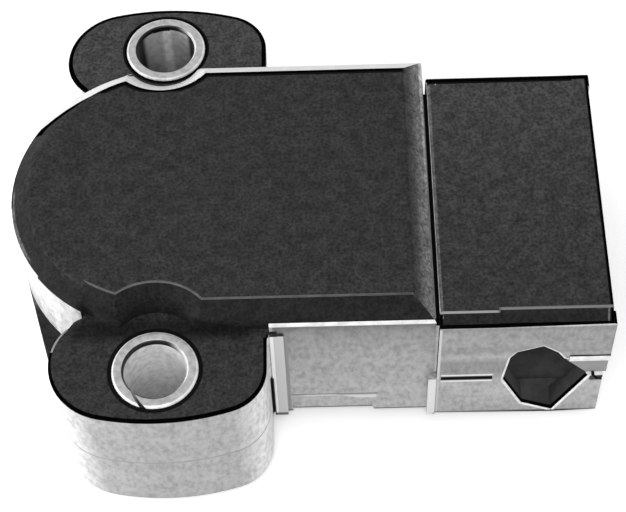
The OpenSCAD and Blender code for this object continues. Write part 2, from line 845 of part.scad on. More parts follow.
module rotor() {
    color("#d8d2c4")
        difference() {
            union() {
                rotate_extrude($fn = smooth)
                    polygon([
                        [0, rotor_z], [journal_r, rotor_z], [journal_r, washer_top_z + running_gap],
                        [hub_r, washer_top_z + running_gap], [hub_r, disc_z], [disc_r, disc_z],
                        [disc_r, disc_top_z], [collar_r, disc_top_z], [collar_r, collar_top_z],
                        [pivot_r, collar_top_z], [pivot_r, bush_top_z - pivot_end_gap],
                        [0, bush_top_z - pivot_end_gap]
                    ]);
                ring_part(disc_r - past, tab_r, disc_z, disc_top_z, tab_start - tab_angle / 2, tab_angle);
                arm_studs();
            }
            translate([0, 0, rotor_z - past])
                cylinder(r = drive_r, h = drive_depth + drive_end_t + past, $fn = smooth);
            rotate([0, 0, leg_angle])
                translate([spring_r, 0, disc_z - past])
                    cylinder(r = leg_hole_r, h = leg_hole_depth + past, $fn = 32);
        }
}

// Studs that hold the contact arm, in the disc's upper face
root_angle = brush_angle - finger_span;
stud_angle = root_angle - plate_angle / 2;
stud_radii = [track_mid_r - stud_r, collector_mid_r];
module arm_studs() {
    for (r = stud_radii)
        rotate([0, 0, stud_angle])
            translate([r, 0, disc_top_z - past])
                cylinder(r = stud_r, h = past + arm_t + stud_head, $fn = 32);
}

module drive_bush() {
    color("#b9a15a")
        difference() {
            translate([0, 0, rotor_z])
                cylinder(r = drive_r, h = drive_depth + drive_end_t, $fn = smooth);
            intersection() {
                translate([0, 0, rotor_z - past])
                    cylinder(r = drive_bore_r, h = drive_depth + past, $fn = smooth);
                translate([-drive_r, -drive_flats / 2, rotor_z - 2 * past])
                    cube([2 * drive_r, drive_flats, drive_depth + 3 * past]);
            }
        }
}

module pivot_bush() {
    color("#a88a4a")
        ring(pivot_r + running_gap, bush_r, ceiling_z, bush_top_z);
}

module rotor_seal() {
    color("#202022")
        translate([0, 0, boss_top_z - oring_d / 2 - oring_gap])
            rotate_extrude($fn = smooth)
                translate([journal_r + running_gap + oring_d / 2, 0])
                    circle(d = oring_d - oring_gap, $fn = 32);
}

module thrust_washer() {
    color("#d9d9d4")
        ring(journal_r + running_gap, boss_r, boss_top_z, washer_top_z);
}

// Round wire swept along a list of points, each ring square to its neighbours
function unit(v) = v / norm(v);
module wire(points, d, sides) {
    n = len(points);
    rings = [for (i = [0:n - 1])
        let (
            before = points[max(i - 1, 0)],
            after = points[min(i + 1, n - 1)],
            t = unit(after - before),
            out = unit(cross(t, [0.02, 0.03, 1])),
            up = cross(out, t)
        )
        for (k = [0:sides - 1])
            points[i] + d / 2 * (cos(360 * k / sides) * out + sin(360 * k / sides) * up)
    ];
    sides_faces = [for (i = [0:n - 2]) for (k = [0:sides - 1])
        [i * sides + k, i * sides + (k + 1) % sides, (i + 1) * sides + (k + 1) % sides, (i + 1) * sides + k]];
    first = [for (k = [sides - 1:-1:0]) k];
    last = [for (k = [0:sides - 1]) (n - 1) * sides + k];
    polyhedron(points = rings, faces = concat(sides_faces, [first, last]));
}

// Coil of the return spring, with a leg outwards into the peg and a leg up into the disc
module return_spring() {
    steps = 20;
    coil = [for (i = [0:spring_turns * steps])
        let (at = polar(spring_r, leg_angle + 360 * i / steps))
        [at[0], at[1], spring_z + spring_pitch * i / steps]];
    leg_end = polar(spring_r + spring_leg, leg_angle);
    top = coil[len(coil) - 1];
    color("#8f9093") {
        wire(concat([[leg_end[0], leg_end[1], spring_z]], coil), spring_wire, 8);
        translate(top)
            cylinder(d = spring_wire, h = disc_z + leg_hole_depth - coil_gap - top[2], $fn = 24);
    }
}

// Inclined contact finger that ends under its track
module finger(r) {
    rise = film_z - brush_gap - brush_h - disc_top_z - arm_t;
    run = 2 * r * sin(finger_span / 2);
    mid = (root_angle + brush_angle) / 2;
    tilt = atan2(rise, run);
    translate([polar(r, root_angle)[0], polar(r, root_angle)[1], disc_top_z])
        rotate([0, 0, mid + 90])
            rotate([0, -tilt, 0])
                translate([0, -finger_w / 2, 0])
                    cube([run / cos(tilt), finger_w, arm_t]);
}

// Angle by which the root plate runs on under the fingers
plate_lap = 2;
module wiper_spring() {
    color("#cbb46a")
        difference() {
            union() {
                ring_part(
                    collector_mid_r - finger_w, track_mid_r + finger_w / 2,
                    disc_top_z, disc_top_z + arm_t, root_angle - plate_angle + plate_lap, plate_angle
                );
                finger(track_mid_r);
                finger(collector_mid_r);
            }
            for (r = stud_radii)
                rotate([0, 0, stud_angle])
                    translate([r, 0, disc_top_z - past])
                        cylinder(r = stud_r, h = 2 * past, $fn = 32);
        }
}

module brush(r) {
    translate([polar(r, brush_angle)[0], polar(r, brush_angle)[1], film_z - brush_gap - brush_h])
        cylinder(r = brush_r, h = brush_h, $fn = 24);
}

module track_brush() {
    color("#e0c878")
        brush(track_mid_r);
}

module collector_brush() {
    color("#e0c878")
        brush(collector_mid_r);
}

module resistor_board() {
    color("#e9e6dc")
        difference() {
            union() {
                translate([0, 0, board_z])
                    cylinder(r = board_r, h = board_t, $fn = smooth);
                translate([0, pin_y[0] - pin_w / 2, board_z])
                    cube([board_end_x, pin_y[2] - pin_y[0] + pin_w, board_t]);
            }
            translate([0, 0, board_z - past])
                cylinder(r = board_hole_r, h = board_t + 2 * past, $fn = smooth);
            for (p = stake_places)
                translate([p[0], p[1], board_z - past])
                    cylinder(r = stake_r, h = board_t + 2 * past, $fn = 32);
        }
}

module resistive_track() {
    color("#1c1c1c")
        ring_part(track_in_r, track_in_r + track_w, film_z, board_z, track_start, track_span);
}

module collector_track() {
    color("#c8ccd0")
        ring_part(collector_in_r, collector_in_r + collector_w, film_z, board_z, track_start, track_span);
}

// Printed conductors from the ends of the tracks to the terminals' feet
foot_x = board_end_x - foot_len;
module board_traces() {
    track_out_r = track_in_r + track_w;
    collector_out_r = collector_in_r + collector_w;
    ends = [track_start, track_start + track_span];
    upper = polar(track_out_r, ends[0]);
    lower = polar(track_out_r, ends[1]);
    column_x = collector_out_r + trace_w;
    half = trace_w / 2;
    color("#c8ccd0")
        translate([0, 0, film_z])
            linear_extrude(film_t) {
                polygon([
                    polar(track_in_r, ends[0]), [foot_x, polar(track_in_r, ends[0])[1]],
                    [foot_x, pin_y[2] - pin_w / 2], [board_end_x, pin_y[2] - pin_w / 2],
                    [board_end_x, upper[1]], upper
                ]);
                polygon([
                    polar(track_in_r, ends[1]), lower,
                    [foot_x, lower[1]], [board_end_x, lower[1]], [board_end_x, pin_y[0] + pin_w / 2],
                    [foot_x, pin_y[0] + pin_w / 2], [foot_x, polar(track_in_r, ends[1])[1]]
                ]);
                polygon([
                    polar(collector_in_r, ends[0]), [column_x, polar(collector_in_r, ends[0])[1]],
                    [column_x, pin_y[1] - half], [foot_x, pin_y[1] - half], [foot_x, pin_y[1] - pin_w / 2],
                    [board_end_x, pin_y[1] - pin_w / 2], [board_end_x, pin_y[1] + pin_w / 2],
                    [foot_x, pin_y[1] + pin_w / 2], [foot_x, pin_y[1] + half],
                    [column_x + trace_w, pin_y[1] + half],
                    [column_x + trace_w, polar(collector_out_r, ends[0])[1]],
                    polar(collector_out_r, ends[0])
                ]);
            }
}

// Blade terminal: a foot under the board, a riser and a pointed blade in the socket
module terminal(y) {
    color("#d4cfa8")
        translate([0, y - pin_w / 2, 0])
            rotate([90, 0, 0])
                mirror([0, 0, 1])
                    linear_extrude(pin_w)
                        polygon([
                            [foot_x, film_z], [foot_x, film_z - pin_t / 2],
                            [board_end_x - pin_t, film_z - pin_t / 2],
                            [board_end_x - pin_t, pin_z - pin_t / 2],
                            [pin_tip_x - pin_taper, pin_z - pin_t / 2], [pin_tip_x, pin_z - pin_t / 4],
                            [pin_tip_x, pin_z + pin_t / 4], [pin_tip_x - pin_taper, pin_z + pin_t / 2],
                            [board_end_x, pin_z + pin_t / 2], [board_end_x, film_z]
                        ]);
}

module supply_terminal() {
    terminal(pin_y[2]);
}

module signal_terminal() {
    terminal(pin_y[1]);
}

module ground_terminal() {
    terminal(pin_y[0]);
}

housing();
base_cover();
cover_seal();
flange_gasket();
front_sleeve();
rear_sleeve();
rotor();
drive_bush();
pivot_bush();
rotor_seal();
thrust_washer();
return_spring();
wiper_spring();
track_brush();
collector_brush();
resistor_board();
resistive_track();
collector_track();
board_traces();
supply_terminal();
signal_terminal();
ground_terminal();
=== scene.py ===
# %% [markdown]
# Throttle position sensor, dressed for its picture.
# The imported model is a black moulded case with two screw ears, two split steel sleeves and a plug
# socket, and a sprung rotor under a base cover. This lesson loads that model as a fixed frame,
# sets the camera, gives every surface its finish and adds the fine detail that catches the light.

# %% Load the frame
import json
import math

import bmesh
import bpy
from mathutils import Matrix, Vector


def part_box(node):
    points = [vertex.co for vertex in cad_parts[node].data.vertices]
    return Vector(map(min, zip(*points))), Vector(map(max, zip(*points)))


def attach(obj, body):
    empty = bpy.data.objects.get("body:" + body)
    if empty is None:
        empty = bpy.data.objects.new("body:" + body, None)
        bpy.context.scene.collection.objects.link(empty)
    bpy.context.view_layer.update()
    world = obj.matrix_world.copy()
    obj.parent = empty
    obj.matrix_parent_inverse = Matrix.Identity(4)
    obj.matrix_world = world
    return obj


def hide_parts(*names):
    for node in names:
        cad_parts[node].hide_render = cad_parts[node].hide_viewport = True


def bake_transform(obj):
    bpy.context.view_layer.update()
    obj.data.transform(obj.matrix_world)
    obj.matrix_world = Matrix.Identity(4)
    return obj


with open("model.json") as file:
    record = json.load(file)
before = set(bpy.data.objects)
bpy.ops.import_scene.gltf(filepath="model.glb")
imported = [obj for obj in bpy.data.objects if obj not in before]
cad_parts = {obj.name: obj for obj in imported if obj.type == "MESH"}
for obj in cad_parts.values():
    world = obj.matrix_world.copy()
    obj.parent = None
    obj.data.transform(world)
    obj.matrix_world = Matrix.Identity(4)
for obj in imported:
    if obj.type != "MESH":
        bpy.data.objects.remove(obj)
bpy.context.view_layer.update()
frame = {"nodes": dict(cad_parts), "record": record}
nodes = frame["nodes"]
MM = 0.001

# %% [markdown]
# The camera stands where the photographer stood: in front of the case, to the right of its middle
# and well above it, with a long lens. Its place was worked out once from the outlines in the
# photograph, and is given here as a distance and three angles about a point inside the case.

# %% Camera
PICTURE_WIDTH = 626
LOOK_AT = Vector((14.75, -3.22, 10.9)) * MM
AZIMUTH, ELEVATION, ROLL = math.radians(1.10), math.radians(57.474), math.radians(-2.338)
DISTANCE = 186.2 * MM
FOCAL_PIXELS = 1871.7
SENSOR = 36.0


def camera_turn(azimuth, elevation, roll):
    """The camera's rotation: it looks down on the part, then leans by the roll."""
    back = Vector((
        math.sin(azimuth) * math.cos(elevation),
        -math.cos(azimuth) * math.cos(elevation),
        math.sin(elevation),
    ))
    right = Vector((0, 0, 1)).cross(back).normalized()
    up = back.cross(right)
    leaned_right = math.cos(roll) * right + math.sin(roll) * up
    leaned_up = math.cos(roll) * up - math.sin(roll) * right
    return Matrix((leaned_right, leaned_up, back)).transposed(), back


turn, back = camera_turn(AZIMUTH, ELEVATION, ROLL)
lens = bpy.data.cameras.new("camera")
lens.sensor_fit = "HORIZONTAL"
lens.sensor_width = SENSOR
lens.lens = FOCAL_PIXELS / PICTURE_WIDTH * SENSOR
lens.clip_start = 0.01
camera = bpy.data.objects.new("camera", lens)
bpy.context.scene.collection.objects.link(camera)
camera.matrix_world = Matrix.Translation(LOOK_AT + back * DISTANCE) @ turn.to_4x4()
bpy.context.scene.camera = camera
print("lens", round(lens.lens, 1), "mm at", [round(c * 1000) for c in camera.location], "mm")

# %% [markdown]
# Colours are written as they look on a screen, in hex, and one function turns them into the linear
# light that a shader mixes. One more small function adds a shader node with its settings and links,
# so that a material reads as a list of what it is made of. Every pattern is laid out in real
# millimetres: the object's own coordinates are metres, so they are multiplied by 1000 first.

# %% Colours and nodes


def colour(hex_code):
    """Turns a screen colour such as 3a3a3c into linear light."""
    parts = [int(hex_code[i:i + 2], 16) / 255 for i in (0, 2, 4)]
    return [p / 12.92 if p <= 0.04045 else ((p + 0.055) / 1.055) ** 2.4 for p in parts] + [1.0]


def add(tree, kind, inputs=None, stops=None, **settings):
    """Adds one node, with its settings, values or links on its inputs, and a ramp's stops."""
    made = tree.nodes.new(kind)
    for key, value in settings.items():
        setattr(made, key, value)
    for key, value in (inputs or {}).items():
        if isinstance(value, bpy.types.NodeSocket):
            tree.links.new(value, made.inputs[key])
        else:
            made.inputs[key].default_value = value
    if stops:
        ramp = made.color_ramp.elements
        while len(ramp) < len(stops):
            ramp.new(0.5)
        for element, (at, hex_code) in zip(ramp, stops):
            element.position = at
            element.color = colour(hex_code)
    return made


def new_material(name, roughness=0.5, metallic=0.0, specular=0.5):
    """Starts a material: it gives its tree, its shader and its place on the object in millimetres."""
    made = bpy.data.materials.new(name)
    made.use_nodes = True
    tree = made.node_tree
    shader = next(n for n in tree.nodes if n.type == "BSDF_PRINCIPLED")
    shader.inputs["Roughness"].default_value = roughness
    shader.inputs["Metallic"].default_value = metallic
    shader.inputs["Specular IOR Level"].default_value = specular
    where = add(tree, "ShaderNodeTexCoord")
    place = add(tree, "ShaderNodeVectorMath", {
        0: where.outputs["Object"], "Scale": 1 / MM}, operation="SCALE")
    return made, tree, shader, place.outputs[0]


# %% [markdown]
# Several finishes change from place to place on the case, and most are painted light and shade: a
# painted highlight under an upper edge, painted shade in a corner, a bevel painted lighter. A few
# helpers keep that readable. A mask is 1 where a finish lies and 0 elsewhere, with soft sides: between
# two limits, where several masks meet, or inside a box of the part. Colours are laid over a colour,
# each where its own mask is 1, like strips of thin film, and pale patterns tone what they lie on.

# %% Masks, overlays and patterns


def meeting(tree, *masks):
    """1 only where every one of the masks is 1."""
    made = masks[0]
    for mask in masks[1:]:
        made = add(tree, "ShaderNodeMath", {0: made, 1: mask}, operation="MULTIPLY").outputs[0]
    return made


def between(tree, value, low, high, soft):
    """1 where a value lies between two limits, with soft ends."""
    sides = []
    for zero_at, one_at in ((low - soft, low + soft), (high + soft, high - soft)):
        side = add(tree, "ShaderNodeMapRange", {
            0: value, 1: zero_at, 2: one_at}, interpolation_type="SMOOTHSTEP")
        sides.append(side.outputs[0])
    return meeting(tree, *sides)


def region(tree, where, soft=0.06, **limits):
    """1 inside a box, given as x, y and z limits in millimetres for each axis that matters."""
    return meeting(tree, *[
        between(tree, where["xyz".index(axis)], low, high, soft)
        for axis, (low, high) in limits.items()])


def overlaid(tree, under, layers):
    """Lays colours over a colour, each where its mask is 1."""
    for mask, over in layers:
        over = colour(over) if isinstance(over, str) else over
        under = add(tree, "ShaderNodeMix", {0: mask, 6: under, 7: over}, data_type="RGBA").outputs[2]
    return under


def toned(tree, under, patterns):
    """Multiplies a colour by pale patterns, so that they only tone what they lie on."""
    for pattern in patterns:
        under = add(tree, "ShaderNodeMix", {0: 1.0, 6: under, 7: pattern},
                    data_type="RGBA", blend_type="MULTIPLY").outputs[2]
    return under


# %% [markdown]
# The part lies on a sheet of white paper under soft studio light. The white of the picture's
# background comes from the paper's own colour as the camera sees it, and not from more light. The
# paper is a little brighter to the camera than it is lit, so it reads as white, and the soft
# shadow beside the part stays. One soft box stands high in front, so that it shines down into the
# sleeves, and one low at the left.

# %% Floor, world and lamps
FRONT_AT = Vector((0.0, -0.34, 0.50))
LEFT_AT = Vector((-0.45, -0.10, 0.14))
PAPER_LIFT = 0.3
WORLD_LIGHT = 0.62


def white_paper():
    """White paper: the camera and mirrors see it as white, and it still takes shadows."""
    made, tree, shader, _ = new_material("white_paper", roughness=0.9)
    shader.inputs["Base Color"].default_value = colour("fcfcfc")
    shader.inputs["Emission Color"].default_value = colour("ffffff")
    path = add(tree, "ShaderNodeLightPath")
    seen = add(tree, "ShaderNodeMath", {
        0: path.outputs["Is Camera Ray"], 1: path.outputs["Is Glossy Ray"]}, operation="MAXIMUM")
    lift = add(tree, "ShaderNodeMath", {0: seen.outputs[0], 1: PAPER_LIFT}, operation="MULTIPLY")
    tree.links.new(lift.outputs[0], shader.inputs["Emission Strength"])
    return made


bpy.ops.mesh.primitive_plane_add(size=4, location=(0, 0, 0))
floor = bpy.context.object
floor.name = "floor"
floor.data.materials.append(white_paper())

world = bpy.data.worlds.new("studio")
bpy.context.scene.world = world
world.use_nodes = True
background = next(n for n in world.node_tree.nodes if n.type == "BACKGROUND")
background.inputs["Color"].default_value = colour("ffffff")
background.inputs["Strength"].default_value = WORLD_LIGHT


def area_lamp(name, place, size, power):
    """A soft box: a square lamp that looks at the part."""
    lamp = bpy.data.lights.new(name, "AREA")
    lamp.size = size
    lamp.energy = power
    made = bpy.data.objects.new(name, lamp)
    bpy.context.scene.collection.objects.link(made)
    made.location = place
    made.rotation_euler = (LOOK_AT - place).to_track_quat("-Z", "Y").to_euler()


area_lamp("front_soft_box", FRONT_AT, size=0.3, power=1.3)
area_lamp("left_soft_box", LEFT_AT, size=0.3, power=1.35)
bpy.context.scene.view_settings.view_transform = "Standard"

# %% [markdown]
# A moulded case has no knife edges: the mould's own corners are a few tenths of a millimetre round,
# and that is what draws the thin lines along every edge in a photograph. The imported solid has sharp
# ones. A copy of it is merged into one skin, its flat triangles are joined into whole faces, and
# then only its outer convex edges are bevelled. Bevelling only listed edges keeps the fine slots
# crisp, where a bevel on everything would swell over them. The new narrow faces get a finish of their
# own at once, and that finish paints the thin line along each edge: painted shade, a painted
# highlight or a painted reflection.

# %% Soften the case's edges
# Besides the grained top and the inside, these finishes are painted light: black edges of painted
# shade, edges with a thin painted highlight, upright walls painted light as a reflection, lit edges
# painted nearly white, and rear bevels painted white as the backdrop's reflection
CASE_FINISHES = [
    "grained_top", "painted_shade_edge", "painted_highlight_edge", "upright_wall", "lit_edge", "deep_inside",
    "rear_bevel_painted_reflection",
]
TOP, SHADE_EDGE, HIGHLIGHT_EDGE, WALL, LIT, INSIDE, PAINTED_REFLECTION = range(len(CASE_FINISHES))
FRESH = INSIDE  # No edge is given the inside's finish, so it marks the faces of the newest bevel
HOLE_Y, SLEEVE_RING = 18.9, 4.4
SCALLOP_Y, SCALLOP_FOOT, SCALLOP_DRAWN = 17.1, 4.4, 4.0
ROUND_END_X, BODY_END = 0.85, 26.2
BODY_SIDE, SOCKET_FRONT = 15.3, 15.9
EAR_TOP, WALL_TOP, SOCKET_TOP, LID_TOP = 16.5, 17.9, 19.1, 19.7
WELD = 0.002 * MM
NEAR = 0.05  # A point this close to a wall or a level, in millimetres, counts as on it
FLAT, SHARP = math.radians(0.4), math.radians(20)


def only(piece):
    """Leaves one object selected and active."""
    bpy.ops.object.select_all(action="DESELECT")
    piece.select_set(True)
    bpy.context.view_layer.objects.active = piece


def merged_copy(node_name, name):
    """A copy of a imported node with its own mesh, as one closed skin with whole flat faces."""
    piece = nodes[node_name].copy()
    piece.data = nodes[node_name].data.copy()
    piece.name = name
    bpy.context.scene.collection.objects.link(piece)
    only(piece)
    bpy.ops.object.mode_set(mode="EDIT")
    bpy.ops.mesh.select_all(action="SELECT")
    bpy.ops.mesh.remove_doubles(threshold=WELD)
    bpy.ops.mesh.dissolve_limited(angle_limit=FLAT)
    bpy.ops.object.mode_set(mode="OBJECT")
    return piece


def bevel_where(piece, chosen, width, finish_at, segments):
    """Bevels the sharp convex edges whose ends pass a test, and finishes the new faces by place."""
    only(piece)
    bpy.ops.object.mode_set(mode="EDIT")
    bpy.ops.mesh.select_mode(type="EDGE")
    bpy.ops.mesh.select_all(action="DESELECT")
    mesh = bmesh.from_edit_mesh(piece.data)
    edges = [edge for edge in mesh.edges
             if edge.is_convex and len(edge.link_faces) == 2 and edge.calc_face_angle(0) > SHARP
             and chosen(edge.verts[0].co / MM, edge.verts[1].co / MM)]
    for edge in edges:
        edge.select = True
    print(piece.name, "softens", len(edges), "edges by", width, "mm")
    bmesh.update_edit_mesh(piece.data)
    bpy.ops.mesh.bevel(
        offset=width * MM, offset_type="OFFSET", segments=segments, profile=0.5,
        clamp_overlap=False, material=FRESH)
    mesh = bmesh.from_edit_mesh(piece.data)
    for face in mesh.faces:
        if face.material_index == FRESH:
            face.material_index = finish_at(*(face.calc_center_median() / MM))
    bmesh.update_edit_mesh(piece.data)
    bpy.ops.object.mode_set(mode="OBJECT")


def on_rear_ear(face):
    """A face of the rear ear's flat top."""
    middle = face.calc_center_median() / MM
    return face.normal.z > 0.99 and abs(middle.z - EAR_TOP) < 0.02 and middle.y > 12


def border_rear_ear(piece, width):
    """Insets the rear ear's top, and gives the border that this leaves the black edges' painted shade.
    """
    only(piece)
    bpy.ops.object.mode_set(mode="EDIT")
    bpy.ops.mesh.select_mode(type="FACE")
    bpy.ops.mesh.select_all(action="DESELECT")
    mesh = bmesh.from_edit_mesh(piece.data)
    tops = [face for face in mesh.faces if on_rear_ear(face)]
    for face in tops:
        face.select = True
    bmesh.update_edit_mesh(piece.data)
    bpy.ops.mesh.inset(thickness=width * MM, use_boundary=True, use_even_offset=True)
    bpy.ops.mesh.select_all(action="INVERT")
    mesh = bmesh.from_edit_mesh(piece.data)
    border = [face for face in mesh.faces
              if face.select and face.material_index == TOP and on_rear_ear(face)]
    for face in border:
        face.material_index = SHADE_EDGE
    bmesh.update_edit_mesh(piece.data)
    bpy.ops.object.mode_set(mode="OBJECT")
    print(piece.name, "insets", len(tops), "faces, which leaves a border of", len(border))


def widen_rear_scallop(piece):
    """Draws the foot of the rear scallop in by 0.4 mm, so that its slope shows from above."""
    moved = 0
    for vertex in piece.data.vertices:
        p = vertex.co / MM
        out = Vector((p.x, p.y - SCALLOP_Y))
        if abs(p.z - WALL_TOP) < NEAR and p.y > 12 and abs(out.length - SCALLOP_FOOT) < 0.06:
            out = out * (SCALLOP_DRAWN / SCALLOP_FOOT)
            vertex.co = Vector((out.x, min(out.y + SCALLOP_Y, BODY_SIDE), p.z)) * MM
            moved += 1
    print(piece.name, "has", moved, "points of the rear scallop's foot drawn in")


def smooth_skin(piece):
    """Smooth shading that keeps flat faces flat and only rounds the bevels."""
    only(piece)
    bpy.ops.object.shade_smooth_by_angle(angle=math.radians(38))
    weighted = piece.modifiers.new("flat_faces_first", "WEIGHTED_NORMAL")
    weighted.keep_sharp = True
    bpy.ops.object.modifier_apply(modifier=weighted.name)


def on_outer_wall(p):
    """A point of the body's outer wall, away from the pocket and the scallops."""
    if p.x > BODY_END - NEAR:
        return p.x < BODY_END + NEAR
    if p.x < ROUND_END_X:
        return math.hypot(p.x - ROUND_END_X, p.y) > BODY_SIDE - NEAR
    return abs(p.y) > BODY_SIDE - NEAR


def socket_front_edge(a, b):
    """The edge where the socket's top turns into its front bevel."""
    return min(a.x, b.x) > BODY_END + 0.2 and min(a.z, b.z) > SOCKET_TOP - 0.15 and max(a.y, b.y) < -14


def ear_rim(a, b):
    """The rim of an ear's top, without its screw hole."""
    if max(abs(a.z - EAR_TOP), abs(b.z - EAR_TOP)) > NEAR or min(abs(a.y), abs(b.y)) < 13.5:
        return False
    round_hole = any(math.hypot(p.x, abs(p.y) - HOLE_Y) <= SLEEVE_RING for p in (a, b))
    return max(a.x, b.x) < 10.55 and not round_hole


def front_ear_rim(a, b):
    """The rim of the front ear, which the picture shows as a broad black line."""
    return ear_rim(a, b) and a.y < 0


def rim_edge(a, b):
    """The lid's rear edge, the foot of its bevel, the socket's upper edges and the ears' rims."""
    if socket_front_edge(a, b):
        return False
    if min(a.x, b.x) > BODY_END + 0.2:
        return min(a.z, b.z) > WALL_TOP - 0.1 and abs(a.x - b.x) + abs(a.y - b.y) > 0.5
    if min(a.z, b.z) > LID_TOP - 0.1:
        return min(a.y, b.y) > 4
    if max(abs(a.z - WALL_TOP), abs(b.z - WALL_TOP)) < NEAR:
        return on_outer_wall(a) and on_outer_wall(b)
    return ear_rim(a, b) and a.y > 0


def rim_finish(x, y, z):
    """What each of those edges looks like once it is round: the top's finish, or painted shade, a
    painted highlight or a painted reflection.
    """
    if x > BODY_END + 0.15:
        on_jog = 31.5 < x < 32.7 and y < -14.5 and z > 18.2
        beside_gap = x < BODY_END + 0.65 and z > SOCKET_TOP - 0.4 and y < 11.3
        return TOP if on_jog or beside_gap else SHADE_EDGE
    if z > LID_TOP - 0.3:
        return SHADE_EDGE if y > 11 else TOP
    if z > EAR_TOP + 0.1:
        if x > BODY_END - 0.4 and abs(y) < BODY_SIDE - 0.3:
            return TOP
        if x < ROUND_END_X and -1 < y < 9.5:
            return SHADE_EDGE
        if y > 3:
            return PAINTED_REFLECTION
        return LIT if x > 10.4 else TOP
    if x < -8.4 and -16.7 < y < 0 and z > EAR_TOP - 0.14:
        return HIGHLIGHT_EDGE
    return TOP if -BODY_SIDE - 0.4 < y < 0 and -9 < x < 10.3 else SHADE_EDGE


def lid_front_edge(a, b):
    """The lid's front edge, with the scallop's arc in it."""
    return min(a.z, b.z) > LID_TOP - 0.1 and max(a.y, b.y) < -10.9 and max(a.x, b.x) < 24.4


def window_rim_finish(x, y, z):
    """The rim takes a painted highlight where it faces out and black painted shade where it has turned
    inwards.
    """
    return LIT if y < -SOCKET_FRONT + 0.1 else SHADE_EDGE


def foot_edge(a, b):
    """The feet of the ears, body and socket."""
    return all(p.z < 1.0 and (abs(p.y) > 13.1 or p.x < -11 or p.x > 23.8) for p in (a, b))


def window_rim(a, b):
    """The latch window's outline in the socket's front wall."""
    return all(abs(p.y + SOCKET_FRONT) < 0.02 and 32.5 < p.x < 41.3 and 1 < p.z < 14 for p in (a, b))


case = merged_copy("housing", "case_skin")
case.data.materials.clear()
for finish in CASE_FINISHES:
    case.data.materials.append(bpy.data.materials.new(finish))
for face in case.data.polygons:
    face.material_index = TOP
widen_rear_scallop(case)
for chosen, width, finish_at, segments in [
    (rim_edge, 0.25, rim_finish, 3),
    (front_ear_rim, 0.32, rim_finish, 4),
    (lid_front_edge, 0.12, lambda x, y, z: HIGHLIGHT_EDGE, 2),
    (socket_front_edge, 0.13, lambda x, y, z: HIGHLIGHT_EDGE, 2),
    (window_rim, 0.34, window_rim_finish, 4),
    (foot_edge, 0.2, lambda x, y, z: WALL, 2),
]:
    bevel_where(case, chosen, width, finish_at, segments)
border_rear_ear(case, 0.22)
smooth_skin(case)

# %% [markdown]
# What a face looks like depends on how it left the mould, and on the light and shade painted on it.
# The faces that look up have the mould's fine grain. The upright walls slid out along the steel and
# are smooth, and are painted bright as a reflection. The slots, the gap beside the socket, the latch
# window and the room behind it hardly get any light, and their finish adds painted shade. Each face
# is sorted once by its middle and its normal, and the bevels keep the finish that they already have.

# %% Sort the case's faces


def sunken(x, y, z):
    """A face inside the socket, the window, the slots or the gap between body and socket."""
    in_socket = x > 27.9 and -14.6 < y < 11.9 and 2.2 < z < 17.8 and x < 42.55
    in_window = 33.0 < x < 41.1 and 1.2 < z < 13.8 and -15.87 < y < -13.9
    in_slot = 26.9 < x < 31.9 and 7.8 < z < 8.4 and -15.87 < y < -15.2
    in_nick = 41.3 < x < 42.7 and 7.2 < z < 8.3 and -15.87 < y < -15.2
    in_gap = BODY_END - 0.01 < x < BODY_END + 0.31 and z > 2
    in_cavity = x < 24 and math.hypot(min(x, 0), y) < 13 and z < EAR_TOP - 0.1
    return in_socket or in_window or in_slot or in_nick or in_gap or in_cavity


def face_finish(middle, normal):
    """The finish of one face of the case, from its middle in millimetres and its normal."""
    x, y, z = middle
    # Painted highlights on the neck's front face, on a band under the socket's lip and on the groove's
    # lower ledge
    if BODY_END < x < BODY_END + 0.3 and normal.y < -0.9 and z > 7:
        return LIT
    if x > 38.9 and y < -SOCKET_FRONT - 0.1 and 11.1 < z < 12.2:
        return LIT
    if x > 37 and y < -15.4 and abs(z - 8.1) < 0.06 and normal.z > 0.9:
        return LIT
    # Sunken faces take the dark inside finish, with its painted shade
    if sunken(x, y, z):
        return INSIDE
    if normal.z > 0.5:
        in_scallop = abs(x) < 6.3 and y > 10
        # Bevels that face the rear are painted white as the backdrop's reflection, or black as painted
        # shade on the socket
        if normal.z < 0.9 and (in_scallop or normal.y > (0.31 if x < 0 else 0.4)):
            return SHADE_EDGE if x > BODY_END else PAINTED_REFLECTION
        if 25.6 < x < 26.6 and y < -15.3 and 7.9 < z < 8.3:
            return WALL
        return TOP
    if normal.z < -0.5:
        return TOP
    # The short walls above the ears take the dark top finish, as painted shade
    if z > EAR_TOP and x < 11 and 9 < abs(y) < BODY_SIDE + 0.1:
        return TOP
    return WALL


counts = [0] * len(CASE_FINISHES)
for face in case.data.polygons:
    if face.material_index == TOP:
        face.material_index = face_finish(face.center / MM, face.normal)
    counts[face.material_index] += 1
print("faces by finish:", dict(zip(CASE_FINISHES, counts)))
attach(case, "case")
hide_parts("housing")

# %% [markdown]
# The case is glass-filled polyester. Its upper faces carry a spark-eroded grain from the mould, so
# they are nearly black and finely speckled, with a little dust. The bevels carry painted light and
# shade: the front one is painted the darkest, and the one beside the socket is painted lighter
# towards its foot, with a painted highlight there. Those painted tones are laid over the base colour
# by where the surface lies and faces, and the grain goes over all of them.

# %% Grained upper faces


def facing_of(tree):
    """The surface's own normal on the object, as three numbers."""
    where = add(tree, "ShaderNodeTexCoord")
    return add(tree, "ShaderNodeSeparateXYZ", {0: where.outputs["Normal"]}).outputs


def from_axis(tree, across, along):
    """How far a point lies from an upright axis, from its two distances in millimetres."""
    flat = add(tree, "ShaderNodeCombineXYZ", {0: across, 1: along})
    return add(tree, "ShaderNodeVectorMath", {0: flat.outputs[0]}, operation="LENGTH").outputs["Value"]


